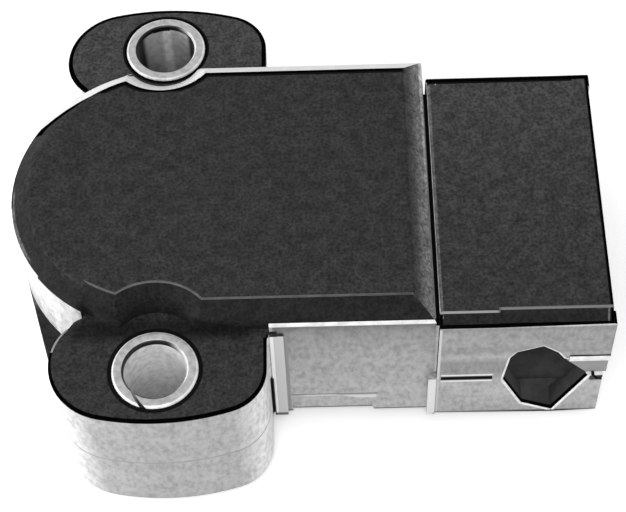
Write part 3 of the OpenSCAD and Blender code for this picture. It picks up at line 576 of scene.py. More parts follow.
def from_round_end(tree, x, y):
    """How far a point lies from the middle line of the body, and round the middle of its round end."""
    past_end = add(tree, "ShaderNodeMath", {0: x, 1: ROUND_END_X}, operation="SUBTRACT")
    left_only = add(tree, "ShaderNodeMath", {0: past_end.outputs[0], 1: 0.0}, operation="MINIMUM")
    return from_axis(tree, left_only.outputs[0], y)


def from_screw_hole(tree, x, y):
    """How far a point lies from the axis of the screw hole on its side of the case."""
    sideways = add(tree, "ShaderNodeMath", {0: y}, operation="ABSOLUTE")
    past_hole = add(tree, "ShaderNodeMath", {0: sideways.outputs[0], 1: HOLE_Y}, operation="SUBTRACT")
    return from_axis(tree, x, past_hole.outputs[0])


def grained_polyester(made):
    """Glass-filled polyester with a spark-eroded grain: dark, matt and finely speckled."""
    made, tree, shader, place = new_material(made, roughness=0.6, specular=0.1)
    where = add(tree, "ShaderNodeSeparateXYZ", {0: place}).outputs
    x, y = where[:2]
    nx, ny, nz = facing_of(tree)

    # Painted shade and light on the bevels by the way they face, from the darkest front one round to
    # the sides
    turned = add(tree, "ShaderNodeMapRange", {0: ny, 1: -0.8, 2: 0.8})
    painted_bevel_shading = add(tree, "ShaderNodeValToRGB", {"Fac": turned.outputs[0]}, stops=[
        (0.05, "282828"), (0.25, "2b2b2b"), (0.50, "343434"), (0.80, "363636")])
    tilt = add(tree, "ShaderNodeMapRange", {
        0: nz, 1: 0.93, 2: 0.84}, interpolation_type="SMOOTHSTEP").outputs[0]
    down_end = add(tree, "ShaderNodeMapRange", {0: x, 1: 24.1, 2: 26.2})
    painted_end_bevel_light = add(tree, "ShaderNodeValToRGB", {"Fac": down_end.outputs[0]}, stops=[
        (0.0, "424242"), (0.35, "686868"), (0.75, "a4a4a4"), (1.0, "bcbcbc")])
    to_rear = add(tree, "ShaderNodeMapRange", {0: y, 1: -15.0, 2: 13.0})
    painted_end_highlight = add(tree, "ShaderNodeValToRGB", {"Fac": to_rear.outputs[0]}, stops=[
        (0.0, "b4b4b4"), (0.45, "c8c8c8"), (0.62, "f0f0f0"), (0.72, "ffffff")])
    facing_end = add(tree, "ShaderNodeMapRange", {
        0: nx, 1: 0.3, 2: 0.45}, interpolation_type="SMOOTHSTEP")
    on_end = meeting(tree, facing_end.outputs[0],
                     region(tree, where, 0.03, x=(24.1, 26.4), z=(17.0, 19.66)))
    end_foot = meeting(tree, on_end, region(tree, where, 0.12, x=(25.85, 26.4)))
    radius = from_round_end(tree, x, y)
    painted_left_rim_light = meeting(tree, tilt, between(tree, radius, 14.9, 16.0, 0.05),
                       region(tree, where, 0.6, x=(-15.0, -9.0), y=(-7.5, 0.5)))

    # Painted shade: the lid's rear edge is black for a third of a millimetre, round the scallop too
    past_scallop = add(tree, "ShaderNodeMath", {0: y, 1: SCALLOP_Y}, operation="SUBTRACT")
    scallop = from_axis(tree, x, past_scallop.outputs[0])
    by_edge = add(tree, "ShaderNodeMath", {
        0: between(tree, radius, 12.72, 14.0, 0.04), 1: between(tree, scallop, 0.0, 6.38, 0.04)},
        operation="MAXIMUM")
    lid_rear = meeting(tree, by_edge.outputs[0], region(
        tree, where, 0.1, x=(-20, 24.4), y=(11.0, 20), z=(19.5, 20)))

    # Painted shade: a narrow ring round each sleeve, where the moulding meets the steel, is black
    hole_ring = meeting(tree, between(tree, from_screw_hole(tree, x, y), 0.0, SLEEVE_RING + 0.06, 0.05),
                        region(tree, where, z=(16.3, 16.7)))

    # The socket's top is a little lighter towards its rear; painted shade darkens the front ear by the
    # scallop, and the bevels' painted light and shade and the painted edge lines lie over it all
    socket_tone = add(tree, "ShaderNodeValToRGB", {"Fac": to_rear.outputs[0]}, stops=[
        (0.0, "434343"), (0.5, "494949"), (1.0, "545454")])
    tone = overlaid(tree, colour("424242"), [
        (region(tree, where, x=(-12, 12), y=(14, 26), z=(16.0, 17.0)), "545454"),
        (region(tree, where, x=(26.4, 43.0), z=(16.0, 20.0)), socket_tone.outputs[0]),
        (region(tree, where, 0.8, x=(-8.0, 9.0), y=(-15.6, -13.6), z=(16.0, 17.8)), "1e1e1e"),
        (region(tree, where, 0.3, z=(0.0, 15.5)), "2b2b2b"),
        (tilt, painted_bevel_shading.outputs[0]),
        (painted_left_rim_light, "707070"),
        (on_end, painted_end_bevel_light.outputs[0]),
        (end_foot, painted_end_highlight.outputs[0]),
        (lid_rear, "050505"),
        # Painted shade lines along the socket's rear edge and at its mouth, and painted highlights on
        # the socket's left edge and front corner
        (region(tree, where, 0.04, x=(26.4, 43.0), y=(11.55, 14.0), z=(18.9, 20.0)), "050505"),
        (region(tree, where, 0.04, x=(41.0, 42.25), y=(-14.9, 14.0), z=(17.7, 19.3)),
         socket_tone.outputs[0]),
        (region(tree, where, 0.04, x=(42.25, 43.4), y=(-16.0, 14.0), z=(17.0, 20.0)), "050505"),
        (region(tree, where, 0.04, x=(26.40, 26.82), y=(-15.5, 11.4), z=(18.6, 19.3)), "787878"),
        (region(tree, where, 0.03, x=(42.02, 42.2), y=(-16.0, -14.75), z=(17.8, 19.2)), "707070"),
        (hole_ring, "060606"),
    ])

    # Grain of 0.03 mm is drawn at 0.3 mm and up, so that the picture can show it
    grain = add(tree, "ShaderNodeTexNoise", {
        "Vector": place, "Scale": 3.1, "Detail": 3.0, "Roughness": 0.7})
    speckle = add(tree, "ShaderNodeValToRGB", {"Fac": grain.outputs["Fac"]}, stops=[
        (0.34, "a0a0a0"), (0.45, "c8c8c8"), (0.55, "ececec"), (0.66, "ffffff")])
    cloud = add(tree, "ShaderNodeTexNoise", {
        "Vector": place, "Scale": 0.85, "Detail": 3.0, "Roughness": 0.6})
    slow = add(tree, "ShaderNodeValToRGB", {"Fac": cloud.outputs["Fac"]}, stops=[
        (0.38, "d6d6d6"), (0.62, "ffffff")])
    plain = toned(tree, tone, [speckle.outputs[0], slow.outputs[0]])

    # A few grains of dust, each less than 0.2 mm across
    dust = add(tree, "ShaderNodeTexVoronoi", {"Vector": place, "Scale": 0.40, "Randomness": 1.0})
    grain_of_dust = add(tree, "ShaderNodeMapRange", {0: dust.outputs["Distance"], 1: 0.042, 2: 0.026})
    picked = add(tree, "ShaderNodeSeparateColor", {0: dust.outputs["Color"]})
    rare = add(tree, "ShaderNodeMath", {0: picked.outputs[0], 1: 0.90}, operation="GREATER_THAN")
    dusty = overlaid(tree, plain, [
        (meeting(tree, grain_of_dust.outputs[0], rare.outputs[0]), "9c9c9c")])
    tree.links.new(dusty, shader.inputs["Base Color"])
    bump = add(tree, "ShaderNodeBump", {
        "Strength": 0.3, "Distance": 0.04 * MM, "Height": grain.outputs["Fac"]})
    tree.links.new(bump.outputs[0], shader.inputs["Normal"])
    return made


# %% [markdown]
# The upright walls are the same plastic where the mould's steel slid off it: satin, and painted light
# as a reflection of the paper. They are mottled at about a millimetre and streaked along the mould. A
# painted highlight runs under their upper edges, the sides of the ears are painted from grey in front
# to white at the sides, and the case's feet end in a thin line of painted shade.

# %% Smooth upright walls


def painted_light_wall_polyester(made):
    """Glass-filled polyester that slid along the mould: satin and softly mottled, painted light as a
    reflection.
    """
    made, tree, shader, place = new_material(made, roughness=0.45, specular=0.3)
    where = add(tree, "ShaderNodeSeparateXYZ", {0: place}).outputs
    nx, _, nz = facing_of(tree)

    # Bands along the front walls of the socket and the body, by height: on the socket, painted
    # highlights under its upper edge and on its lip and painted shade under the lip; the body's wall is
    # painted lighter towards its foot, with a line of painted shade under its top
    up_wall = add(tree, "ShaderNodeMapRange", {0: where[2], 1: 0.9, 2: WALL_TOP})
    socket_bands = add(tree, "ShaderNodeValToRGB", {"Fac": up_wall.outputs[0]}, stops=[
        (0.0, "a8a8a8"), (0.12, "b2b2b2"), (0.36, "b8b8b8"), (0.50, "929292"), (0.60, "909090"),
        (0.66, "b2b2b2"), (0.72, "969696"), (0.80, "a0a0a0"), (0.93, "9c9c9c"), (0.975, "909090"),
        (0.99, "d8d8d8")])
    body_bands = add(tree, "ShaderNodeValToRGB", {"Fac": up_wall.outputs[0]}, stops=[
        (0.0, "bebebe"), (0.2, "bababa"), (0.55, "acacac"), (0.80, "9e9e9e"), (0.93, "8a8a8a"),
        (0.975, "727272")])
    # Painted light: the ears' walls turn from grey to white the more they face sideways
    sideways = add(tree, "ShaderNodeMath", {0: nx}, operation="ABSOLUTE")
    ear_tone = add(tree, "ShaderNodeValToRGB", {"Fac": sideways.outputs[0]}, stops=[
        (0.0, "aeaeae"), (0.30, "b6b6b6"), (0.62, "dedede"), (0.85, "fafafa")])
    on_body_front = region(tree, where, 0.05, x=(10.9, 26.3), y=(-15.7, -14.8))
    on_socket_front = region(tree, where, 0.05, x=(26.3, 43.2), y=(-16.3, -15.7))
    tone = overlaid(tree, ear_tone.outputs[0], [
        (on_body_front, body_bands.outputs[0]), (on_socket_front, socket_bands.outputs[0])])

    # Mottle, streaks and grain over the bands
    upright = add(tree, "ShaderNodeMapping", {"Vector": place, "Scale": (1.0, 1.0, 0.55)}).outputs[0]
    grain = add(tree, "ShaderNodeTexNoise", {
        "Vector": upright, "Scale": 2.2, "Detail": 2.0, "Roughness": 0.55})
    mottle = add(tree, "ShaderNodeTexNoise", {
        "Vector": upright, "Scale": 0.9, "Detail": 4.0, "Roughness": 0.6})
    along = add(tree, "ShaderNodeMapping", {"Vector": place, "Scale": (0.10, 0.10, 0.75)})
    streak = add(tree, "ShaderNodeTexNoise", {"Vector": along.outputs[0], "Scale": 1.0, "Detail": 2.0})
    blend = add(tree, "ShaderNodeMix", {0: 0.25, 2: mottle.outputs["Fac"], 3: streak.outputs["Fac"]})
    both = add(tree, "ShaderNodeMix", {0: 0.5, 2: blend.outputs[0], 3: grain.outputs["Fac"]})
    spots = add(tree, "ShaderNodeValToRGB", {"Fac": both.outputs[0]}, stops=[
        (0.38, "cccccc"), (0.46, "e2e2e2"), (0.54, "f2f2f2"), (0.62, "ffffff")])
    mottled = toned(tree, tone, [spots.outputs[0]])

    # Painted highlight and shade along lines and in corners, each a narrow box of the part: bright
    # strips by the ear's corner, at the socket's left edge and along the slot's lips; painted shade
    # beside the strip, under a shallow step with a paler band below it, at the feet, in the groove, the
    # slot and the nick, and at the ear's corner and flank; a faint line at the parting level on the
    # ear; and painted shade on faces that look down
    below = add(tree, "ShaderNodeMapRange", {
        0: nz, 1: -0.05, 2: -0.35}, interpolation_type="SMOOTHSTEP").outputs[0]
    lines = overlaid(tree, mottled, [
        (region(tree, where, 0.06, x=(10.95, 11.95), y=(-15.8, -15.45), z=(0.5, 16.4)), "cacaca"),
        (region(tree, where, 0.04, x=(10.55, 10.95), y=(-15.8, -15.45), z=(0.5, 16.4)), "f6f6f6"),
        (region(tree, where, 0.04, x=(25.6, 26.45), y=(-16.3, -15.95)), "dcdcdc"),
        (region(tree, where, 0.06, x=(26.40, 26.75), y=(-16.0, -15.8), z=(0.5, 17.4)), "c4c4c4"),
        (region(tree, where, 0.06, x=(11.95, 12.25), y=(-15.6, -14.8), z=(0.5, 16.0)), "8c8c8c"),
        (region(tree, where, 0.06, x=(12.3, 20.9), y=(-15.6, -14.6), z=(4.25, 4.5)), "7c7c7c"),
        (region(tree, where, 0.12, x=(12.5, 20.7), y=(-15.6, -14.6), z=(3.5, 4.1)), "d4d4d4"),
        (region(tree, where, 0.06, x=(10.7, 26.3), y=(-15.8, -14.2), z=(0.8, 1.3)), "505050"),
        (region(tree, where, 0.06, x=(26.3, 43.2), y=(-16.4, -15.0), z=(0.8, 1.3)), "606060"),
        (region(tree, where, 0.05, x=(-11.0, 10.6), y=(-25.0, -15.9), z=(-0.1, 0.26)), "8c8c8c"),
        (region(tree, where, 0.04, x=(37.2, 43.0), y=(-15.6, -15.4)), "8a8a8a"),
        (region(tree, where, 0.06, x=(26.9, 31.9), y=(-16.1, -15.8), z=(8.50, 8.80)), "dcdcdc"),
        (region(tree, where, 0.06, x=(26.9, 31.9), y=(-16.1, -15.8), z=(7.38, 7.68)), "dcdcdc"),
        (region(tree, where, 0.03, x=(26.9, 31.9), y=(-16.1, -15.7), z=(7.72, 8.46)), "060606"),
        (region(tree, where, 0.03, x=(41.35, 43.1), y=(-16.1, -15.3), z=(7.15, 8.0)), "060606"),
        (region(tree, where, 0.08, x=(10.2, 11.3), y=(-15.7, -14.0), z=(16.4, 16.9)), "101010"),
        (region(tree, where, 0.05, x=(10.30, 10.72), y=(-15.75, -14.0), z=(0.3, 8.4)), "0c0c0c"),
        (region(tree, where, 0.08, x=(-10.3, 10.6), y=(-25.0, -16.2), z=(8.0, 8.2)), "8e8e8e"),
        (below, "484848"),
    ])
    tree.links.new(lines, shader.inputs["Base Color"])
    sheen = add(tree, "ShaderNodeMapRange", {
        0: mottle.outputs["Fac"], 1: 0.3, 2: 0.7, 3: 0.38, 4: 0.52})
    tree.links.new(sheen.outputs[0], shader.inputs["Roughness"])
    bump = add(tree, "ShaderNodeBump", {
        "Strength": 0.08, "Distance": 0.03 * MM, "Height": grain.outputs["Fac"]})
    tree.links.new(bump.outputs[0], shader.inputs["Normal"])
    return made


# %% [markdown]
# The narrow faces along the edges are the same plastic again, with light and shade painted on them.
# Where an upper edge rolls over it is painted black as shade, along some edges runs a thin painted
# highlight, and where an edge faces the paper it is painted nearly white as its reflection. The
# inside of the socket and of the window is dark and even, with painted shade blackest just behind the
# rim.

# %% Edges and the deep inside


def edge_polyester(made, tones, roughness, specular=0.15):
    """A rounded edge of the moulding: one tone that wanders a little along the edge."""
    made, tree, shader, place = new_material(made, roughness=roughness, specular=specular)
    wander = add(tree, "ShaderNodeTexNoise", {
        "Vector": place, "Scale": 0.8, "Detail": 4.0, "Roughness": 0.65})
    tone = add(tree, "ShaderNodeValToRGB", {"Fac": wander.outputs["Fac"]}, stops=[
        (0.36, tones[0]), (0.64, tones[1])])
    tree.links.new(tone.outputs[0], shader.inputs["Base Color"])
    return made, tree, shader, place, tone


def inside_polyester(made):
    """The unlit inside of the moulding, with painted shade blackest in the first third of a millimetre.
    """
    made, tree, shader, place, tone = edge_polyester(made, ("3c3c3c", "484848"), 0.7)
    where = add(tree, "ShaderNodeSeparateXYZ", {0: place}).outputs
    # Painted shade: black just behind the rim and in the gap between body and socket
    lip = region(tree, where, 0.06, y=(-15.95, -15.45))
    gap = region(tree, where, 0.1, x=(26.0, 26.7))
    shaded = overlaid(tree, tone.outputs[0], [(lip, "060606"), (gap, "0a0a0a")])
    tree.links.new(shaded, shader.inputs["Base Color"])
    return made


def painted_highlight_polyester(made):
    """A thin painted highlight along an edge: brighter on the socket than on the lid."""
    made, tree, shader, place, tone = edge_polyester(made, ("505050", "626262"), 0.5)
    where = add(tree, "ShaderNodeSeparateXYZ", {0: place}).outputs
    bright = overlaid(tree, tone.outputs[0], [
        (region(tree, where, 0.2, x=(26.6, 31.9), y=(-16.0, -14.0)), "929292"),
        (region(tree, where, 0.2, x=(32.1, 42.8), y=(-16.0, -14.0)), "727272"),
        (region(tree, where, 0.2, x=(-12.0, -8.0), y=(-20.0, -13.0), z=(16.0, 17.0)), "8c8c8c")])
    tree.links.new(bright, shader.inputs["Base Color"])
    return made


def rear_reflection_polyester(made):
    """The bevels that face the white backdrop: painted nearly white as its reflection, and drawn to a
    point at the round end.
    """
    made, tree, shader, place, tone = edge_polyester(made, ("f2f2f2", "fcfcfc"), 0.9, specular=0.0)
    x, y = add(tree, "ShaderNodeSeparateXYZ", {0: place}).outputs[:2]
    inward = add(tree, "ShaderNodeMath", {
        0: BODY_SIDE, 1: from_round_end(tree, x, y)}, operation="SUBTRACT")
    width = add(tree, "ShaderNodeMapRange", {0: y, 1: 7.5, 2: 11.6, 3: 0.0, 4: 2.4})
    beyond = add(tree, "ShaderNodeMath", {
        0: inward.outputs[0], 1: width.outputs[0]}, operation="SUBTRACT").outputs[0]
    at_left = between(tree, x, -20.0, -6.3, 0.01)
    # Dark beyond the point, with a line of painted shade along its inner side
    drawn = overlaid(tree, tone.outputs[0], [
        (meeting(tree, between(tree, beyond, 0.0, 5.0, 0.05), at_left), "3a3a3a"),
        (meeting(tree, between(tree, beyond, -0.05, 1.0, 0.08), at_left), "020202"),
    ])
    tree.links.new(drawn, shader.inputs["Base Color"])
    return made


case_materials = [
    grained_polyester("grained_polyester"),
    edge_polyester("painted_shade_edge_polyester", ("020202", "070707"), 0.9, specular=0.0)[0],
    painted_highlight_polyester("painted_highlight_edge_polyester"),
    painted_light_wall_polyester("wall_polyester_painted_light"),
    edge_polyester("lit_edge_polyester", ("d2d2d2", "f4f4f4"), 0.5)[0],
    inside_polyester("inside_polyester"),
    rear_reflection_polyester("rear_bevel_painted_reflection_polyester"),
]
for slot, made in enumerate(case_materials):
    case.data.materials[slot] = made
print("case finishes:", [made.name for made in case_materials])

# %% [markdown]
# The two sleeves that line the screw holes are rolled from steel strip, so each has a seam down its
# side. A tube with a bevel could stand for one, but a strip's own section, four corners rounded and
# then spun about the hole, gives both the rounded rims and the seam. The front one's seam is open
# and slanted, so its section is first turned a little more the further out it lies. The rear one's
# seam is closed to a hair.

# %% Spin the sleeves
SLEEVE_INNER, SLEEVE_OUTER, SLEEVE_TOP = 2.95, 4.05, 16.75
SLEEVE_CORNER = 0.3


def spun_sleeve(name, hole_y, seam_at, seam_width, slant):
    """Spins a rounded strip section about the hole at hole_y; angles are in degrees."""
    bpy.ops.object.select_all(action="DESELECT")
    bpy.ops.mesh.primitive_plane_add(size=1, location=(0, 0, 0))
    piece = bpy.context.object
    piece.name = name
    wall = SLEEVE_OUTER - SLEEVE_INNER
    bpy.ops.object.mode_set(mode="EDIT")
    bpy.ops.mesh.select_all(action="SELECT")
    bpy.ops.transform.resize(value=(wall * MM, SLEEVE_TOP * MM, 1))
    bpy.ops.transform.rotate(value=math.pi / 2, orient_axis="X", center_override=(0, 0, 0))
    bpy.ops.transform.translate(value=((SLEEVE_INNER + wall / 2) * MM, 0, SLEEVE_TOP / 2 * MM))
    bpy.ops.mesh.bevel(offset=SLEEVE_CORNER * MM, segments=4, affect="VERTICES")
    mesh = bmesh.from_edit_mesh(piece.data)
    for vertex in mesh.verts:
        out = vertex.co.x
        along = math.radians(seam_at + seam_width / 2 + slant * (out / MM - SLEEVE_INNER) / wall)
        vertex.co.x, vertex.co.y = out * math.cos(along), out * math.sin(along)
    bmesh.update_edit_mesh(piece.data)
    bpy.ops.mesh.select_all(action="SELECT")
    bpy.ops.mesh.spin(
        steps=112, angle=-math.radians(360 - seam_width), center=(0, 0, 0), axis=(0, 0, 1))
    bpy.ops.mesh.select_all(action="SELECT")
    bpy.ops.mesh.remove_doubles(threshold=1e-7)
    bpy.ops.mesh.normals_make_consistent(inside=False)
    bpy.ops.transform.translate(value=(0, hole_y * MM, 0))
    bpy.ops.object.mode_set(mode="OBJECT")
    bpy.ops.object.shade_smooth_by_angle(angle=math.radians(40))
    print(name, "has", len(piece.data.polygons), "faces, and its seam is at", seam_at, "degrees")
    return piece


front_sleeve = spun_sleeve("front_sleeve_skin", -HOLE_Y, seam_at=227.0, seam_width=8.6, slant=29.0)
rear_sleeve = spun_sleeve("rear_sleeve_skin", HOLE_Y, seam_at=100.0, seam_width=0.35, slant=0.0)
for sleeve, node_name in ((front_sleeve, "front_sleeve"), (rear_sleeve, "rear_sleeve")):
    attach(sleeve, "case")
    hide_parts(node_name)

# %% [markdown]
# The return spring is held by the cover's peg at its foot and by the rotor at its top, so it winds
# up as the rotor turns. A rigid copy would be cut by the rotor, and a spring for each pose would be
# no model at all. Here the coil is only copied as one smooth skin in place of the imported one, and
# it does not follow the rotor.

# %% Copy the return spring
spring_low, spring_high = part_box("return_spring")
spring = merged_copy("return_spring", "wound_return_spring")
bpy.ops.object.shade_smooth_by_angle(angle=math.radians(50))
spring.parent = None
spring.matrix_world = Matrix.Identity(4)
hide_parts("return_spring")
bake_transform(spring)
print("spring from", round(spring_low[2] / MM, 2), "to", round(spring_high[2] / MM, 2), "mm")

# %% [markdown]
# Every other finish starts from one recipe: a tone that wanders over a real distance, a roughness
# that follows it, and dents too fine to model. What makes each material its own is what is added
# to it: lathe rings on the brass, pores in the sintered bronze, the brushes' paths in the carbon
# ink. The recipe gives back its parts, so that those details can be laid over it.

# %% A worked surface
slot_of = {s["node"]: s["material_slot"] for s in frame["record"]["subparts"]}


def worked_surface(name, tones, size, rough, metallic=0.0, stretch=(1, 1, 1), dent=0.2):
    """A surface whose tone and roughness wander over size millimetres, drawn out by stretch."""
    made, tree, shader, place = new_material(name, metallic=metallic)
    drawn = add(tree, "ShaderNodeMapping", {"Vector": place, "Scale": stretch})
    wander = add(tree, "ShaderNodeTexNoise", {
        "Vector": drawn.outputs[0], "Scale": 1 / size, "Detail": 5.0, "Roughness": 0.6})
    tone = add(tree, "ShaderNodeValToRGB", {"Fac": wander.outputs["Fac"]}, stops=[
        (0.36, tones[0]), (0.50, tones[1]), (0.64, tones[2])])
    gloss = add(tree, "ShaderNodeMapRange", {
        0: wander.outputs["Fac"], 1: 0.3, 2: 0.7, 3: rough[0], 4: rough[1]})
    bump = add(tree, "ShaderNodeBump", {
        "Strength": dent, "Distance": 0.03 * MM, "Height": wander.outputs["Fac"]})
    tree.links.new(tone.outputs[0], shader.inputs["Base Color"])
    tree.links.new(gloss.outputs[0], shader.inputs["Roughness"])
    tree.links.new(bump.outputs[0], shader.inputs["Normal"])
    return made, tree, shader, place, tone.outputs[0]


# %% [markdown]
# The sleeves' strip is rolled and zinc plated. Its rims carry two thin rings of painted highlight
# with a pale flat between them, and the bores are duller, with faint lines down them from the rolling.
# The rear bore is painted darker as the case's shade, with one painted bright streak and painted shade
# on its flanks and in a notch at its top, and painted shade lies on the inner edges of both.

# %% Rolled and plated steel


def rolled_zinc_steel():
    """Rolled strip with bright zinc: pale on the flat rim, painted white as a highlight on its rounded
    edges.
    """
    made, tree, shader, place, tone = worked_surface(
        "rolled_zinc_steel", ("c0c0c0", "d6d6d6", "e8e8e8"), 0.9, (0.28, 0.40), 1.0,
        stretch=(1.0, 1.0, 0.25), dent=0.1)
    where = add(tree, "ShaderNodeSeparateXYZ", {0: place}).outputs
    x, y, z = where
    nz = facing_of(tree)[2]
    out = from_screw_hole(tree, x, y)
    at_top = between(tree, z, 16.3, 17.5, 0.02)
    on_flat = meeting(tree, between(tree, nz, 0.93, 2.0, 0.03), at_top)
    on_edge = meeting(tree, between(tree, nz, 0.1, 0.93, 0.03), at_top)
    in_bore = meeting(tree, between(tree, out, 0.0, 3.05, 0.03), between(tree, z, -1.0, 16.45, 0.05))
    rear_bore = meeting(tree, in_bore, between(tree, y, 5.0, 40.0, 0.5))
    streak = meeting(tree, rear_bore, region(tree, where, 0.25, x=(-0.6, 0.35)))
    flanks = add(tree, "ShaderNodeMath", {
        0: 1.0, 1: between(tree, x, -2.35, 2.2, 0.25)}, operation="SUBTRACT")
    shaded = meeting(tree, between(tree, out, 2.90, 3.14, 0.03), between(tree, z, 16.15, 16.73, 0.03),
                     between(tree, x, -5.0, 2.2, 1.2))
    speckle = add(tree, "ShaderNodeTexNoise", {"Vector": place, "Scale": 1.6, "Detail": 3.0})
    spots = add(tree, "ShaderNodeValToRGB", {"Fac": speckle.outputs["Fac"]}, stops=[
        (0.35, "e2e2e2"), (0.6, "ffffff")])
    # Painted highlight on the rims' rounded edges; the rear bore painted darker as shade, with a
    # painted bright streak, painted shade on its flanks, on the inner edges and in a notch at the rear
    # top
    drawn = overlaid(tree, tone, [
        (on_flat, "e6e6e6"),
        (on_edge, "ffffff"),
        (in_bore, "f4f4f4"),
        (rear_bore, "b4b4b4"),
        (streak, "e0e0e0"),
        (meeting(tree, flanks.outputs[0], rear_bore), "1c1c1c"),
        (shaded, "161616"),
        (region(tree, where, 0.05, x=(-1.4, 0.3), y=(21.5, 22.3), z=(16.0, 16.55)), "060606"),
    ])
    tree.links.new(toned(tree, drawn, [spots.outputs[0]]), shader.inputs["Base Color"])

    # Metal is turned down where the strip was cut and rolled over, so that the painted white highlight
    # shows there, and in the bore; the flats stay bright zinc
    dull = add(tree, "ShaderNodeMath", {0: on_edge, 1: in_bore}, operation="MAXIMUM")
    shine = add(tree, "ShaderNodeMapRange", {0: dull.outputs[0], 3: 1.0, 4: 0.04})
    tree.links.new(shine.outputs[0], shader.inputs["Metallic"])
    return made


# %% [markdown]
# The parts inside are seen from below and through the plug socket. Each is finished as what it is:
# pressed, turned, sintered, printed or moulded. Tool marks finer than a tenth of a millimetre are
# drawn two or three times as coarse, because a picture of the whole part could not show them.

# %% Turned brass, sintered bronze and carbon ink


def turned_brass():
    """Brass from a lathe: fine rings about the axis, 0.05 mm apart on the real one, drawn at 0.2 mm."""
    made, tree, shader, place, _ = worked_surface(
        "turned_brass", ("a88c48", "bba05a", "cdb46c"), 1.5, (0.22, 0.34), 1.0)
    x, y = add(tree, "ShaderNodeSeparateXYZ", {0: place}).outputs[:2]
    rings = add(tree, "ShaderNodeMath", {0: from_axis(tree, x, y), 1: 30.0}, operation="MULTIPLY")
    wave = add(tree, "ShaderNodeMath", {0: rings.outputs[0]}, operation="SINE")
    bump = add(tree, "ShaderNodeBump", {
        "Strength": 0.25, "Distance": 0.03 * MM, "Height": wave.outputs[0]})
    tree.links.new(bump.outputs[0], shader.inputs["Normal"])
    return made


def sintered_bronze():
    """Bronze pressed from powder and fired: dull, with open pores of about 0.1 mm that hold oil."""
    made, tree, shader, place, tone = worked_surface(
        "sintered_bronze", ("8a6c3c", "9c7c46", "a88850"), 0.8, (0.42, 0.58), 1.0)
    pores = add(tree, "ShaderNodeTexVoronoi", {"Vector": place, "Scale": 3.5})
    dark = add(tree, "ShaderNodeMapRange", {0: pores.outputs["Distance"], 1: 0.24, 2: 0.14})
    tree.links.new(overlaid(tree, tone, [(dark.outputs[0], "4a3a20")]), shader.inputs["Base Color"])
    return made


def printed_carbon_ink():
    """Carbon ink baked on ceramic: matt black, with lines 0.4 mm apart that the brushes polished."""
    made, tree, shader, place, tone = worked_surface(
        "printed_carbon_ink", ("141414", "1c1c1c", "242424"), 0.35, (0.55, 0.70))
    x, y = add(tree, "ShaderNodeSeparateXYZ", {0: place}).outputs[:2]
    paths = add(tree, "ShaderNodeMath", {0: from_axis(tree, x, y), 1: 16.0}, operation="MULTIPLY")
    wave = add(tree, "ShaderNodeMath", {0: paths.outputs[0]}, operation="SINE")
    worn = add(tree, "ShaderNodeMapRange", {0: wave.outputs[0], 1: 0.3, 2: 0.9, 3: 0.62, 4: 0.34})
    tree.links.new(worn.outputs[0], shader.inputs["Roughness"])
    lighter = add(tree, "ShaderNodeMapRange", {0: wave.outputs[0], 1: 0.3, 2: 0.9, 3: 0.0, 4: 0.5})
    tree.links.new(overlaid(tree, tone, [(lighter.outputs[0], "343434")]), shader.inputs["Base Color"])
    return made


# %% [markdown]
# The other finishes need nothing beyond the recipe, so a table holds them: the slot, the name, three
# tones, the size of the pattern, the roughness and, for some, metal and stretch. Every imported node
# then gets the finish of its slot.

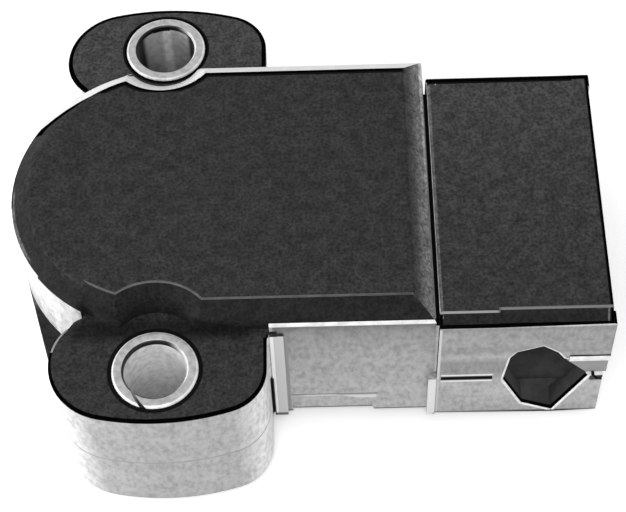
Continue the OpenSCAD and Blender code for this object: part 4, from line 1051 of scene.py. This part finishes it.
# %% Dress every node
WORKED = [
    # Satin polyester: the cover's mould was blasted, so it is smoother than the case's grained top
    ("cover_plastic", "satin_polyester", ("272729", "2d2d2f", "343436"), 0.7, (0.42, 0.55)),
    # Nitrile rubber, moulded: dull black with a faint bloom that wanders over two millimetres
    ("seal_rubber", "moulded_nitrile_rubber", ("1a1a1b", "202021", "29292a"), 2.2, (0.66, 0.82)),
    # Silicone, dispensed as a bead: brick red and a little wetter than rubber
    ("seal_silicone", "silicone_bead", ("6e3024", "7a3a2e", "874838"), 1.4, (0.40, 0.55)),
    # Polyacetal in its natural colour: milky, with flow marks that run away from the gate
    ("rotor_plastic", "natural_polyacetal", ("d0c9bb", "d9d1c4", "e2dbd0"), 2.5, (0.34, 0.46),
     0.0, (0.5, 1.0, 0.5)),
    # Stamped steel strip: rolling lines all one way
    ("washer_steel", "stamped_steel", ("c2c2c0", "d0d0ce", "dededc"), 0.5, (0.24, 0.36),
     1.0, (0.2, 1.0, 1.0)),
    # Drawn spring wire: phosphate grey, with die lines
    ("spring_steel", "drawn_spring_wire", ("74747a", "84848a", "94949a"), 0.6, (0.34, 0.48),
     1.0, (1.0, 1.0, 0.3)),
    # Rolled copper alloy with a bright flash of gold
    ("contact_alloy", "rolled_contact_alloy", ("bda258", "cbb268", "d8c07a"), 0.5, (0.16, 0.28),
     1.0, (1.0, 0.25, 1.0)),
    # Precious-metal tips, polished by running in
    ("brush_alloy", "polished_brush_tips", ("cab068", "dac078", "e6ce8a"), 0.3, (0.10, 0.20), 1.0),
    # Fired alumina: off-white, with the faint shade of grain clusters
    ("board_ceramic", "fired_alumina", ("dcd9cf", "e6e4da", "f0eee6"), 0.6, (0.50, 0.66)),
    # Silver ink, printed through a mesh of 0.1 mm, drawn at 0.3 mm
    ("silver_ink", "printed_silver_ink", ("aeb2b6", "bec2c6", "ced2d6"), 0.3, (0.38, 0.52), 1.0),
    # Tin over brass: a soft grey-yellow with cloudy patches
    ("terminal_tin", "tinned_brass", ("c2bc96", "d0caa6", "dcd8b8"), 0.9, (0.24, 0.38), 1.0),
]
FINISH_OF = {slot: worked_surface(*recipe)[0] for slot, *recipe in WORKED}
FINISH_OF.update(
    sleeve_steel=rolled_zinc_steel(), drive_brass=turned_brass(),
    bush_bronze=sintered_bronze(), track_ink=printed_carbon_ink())
for name, node in nodes.items():
    made = FINISH_OF.get(slot_of[name], case_materials[TOP])
    node.data.materials.clear()
    node.data.materials.append(made)
for sleeve in (front_sleeve, rear_sleeve):
    sleeve.data.materials.append(FINISH_OF["sleeve_steel"])
spring.data.materials.clear()
spring.data.materials.append(FINISH_OF["spring_steel"])
print("finishes:", sorted(made.name for made in FINISH_OF.values()))
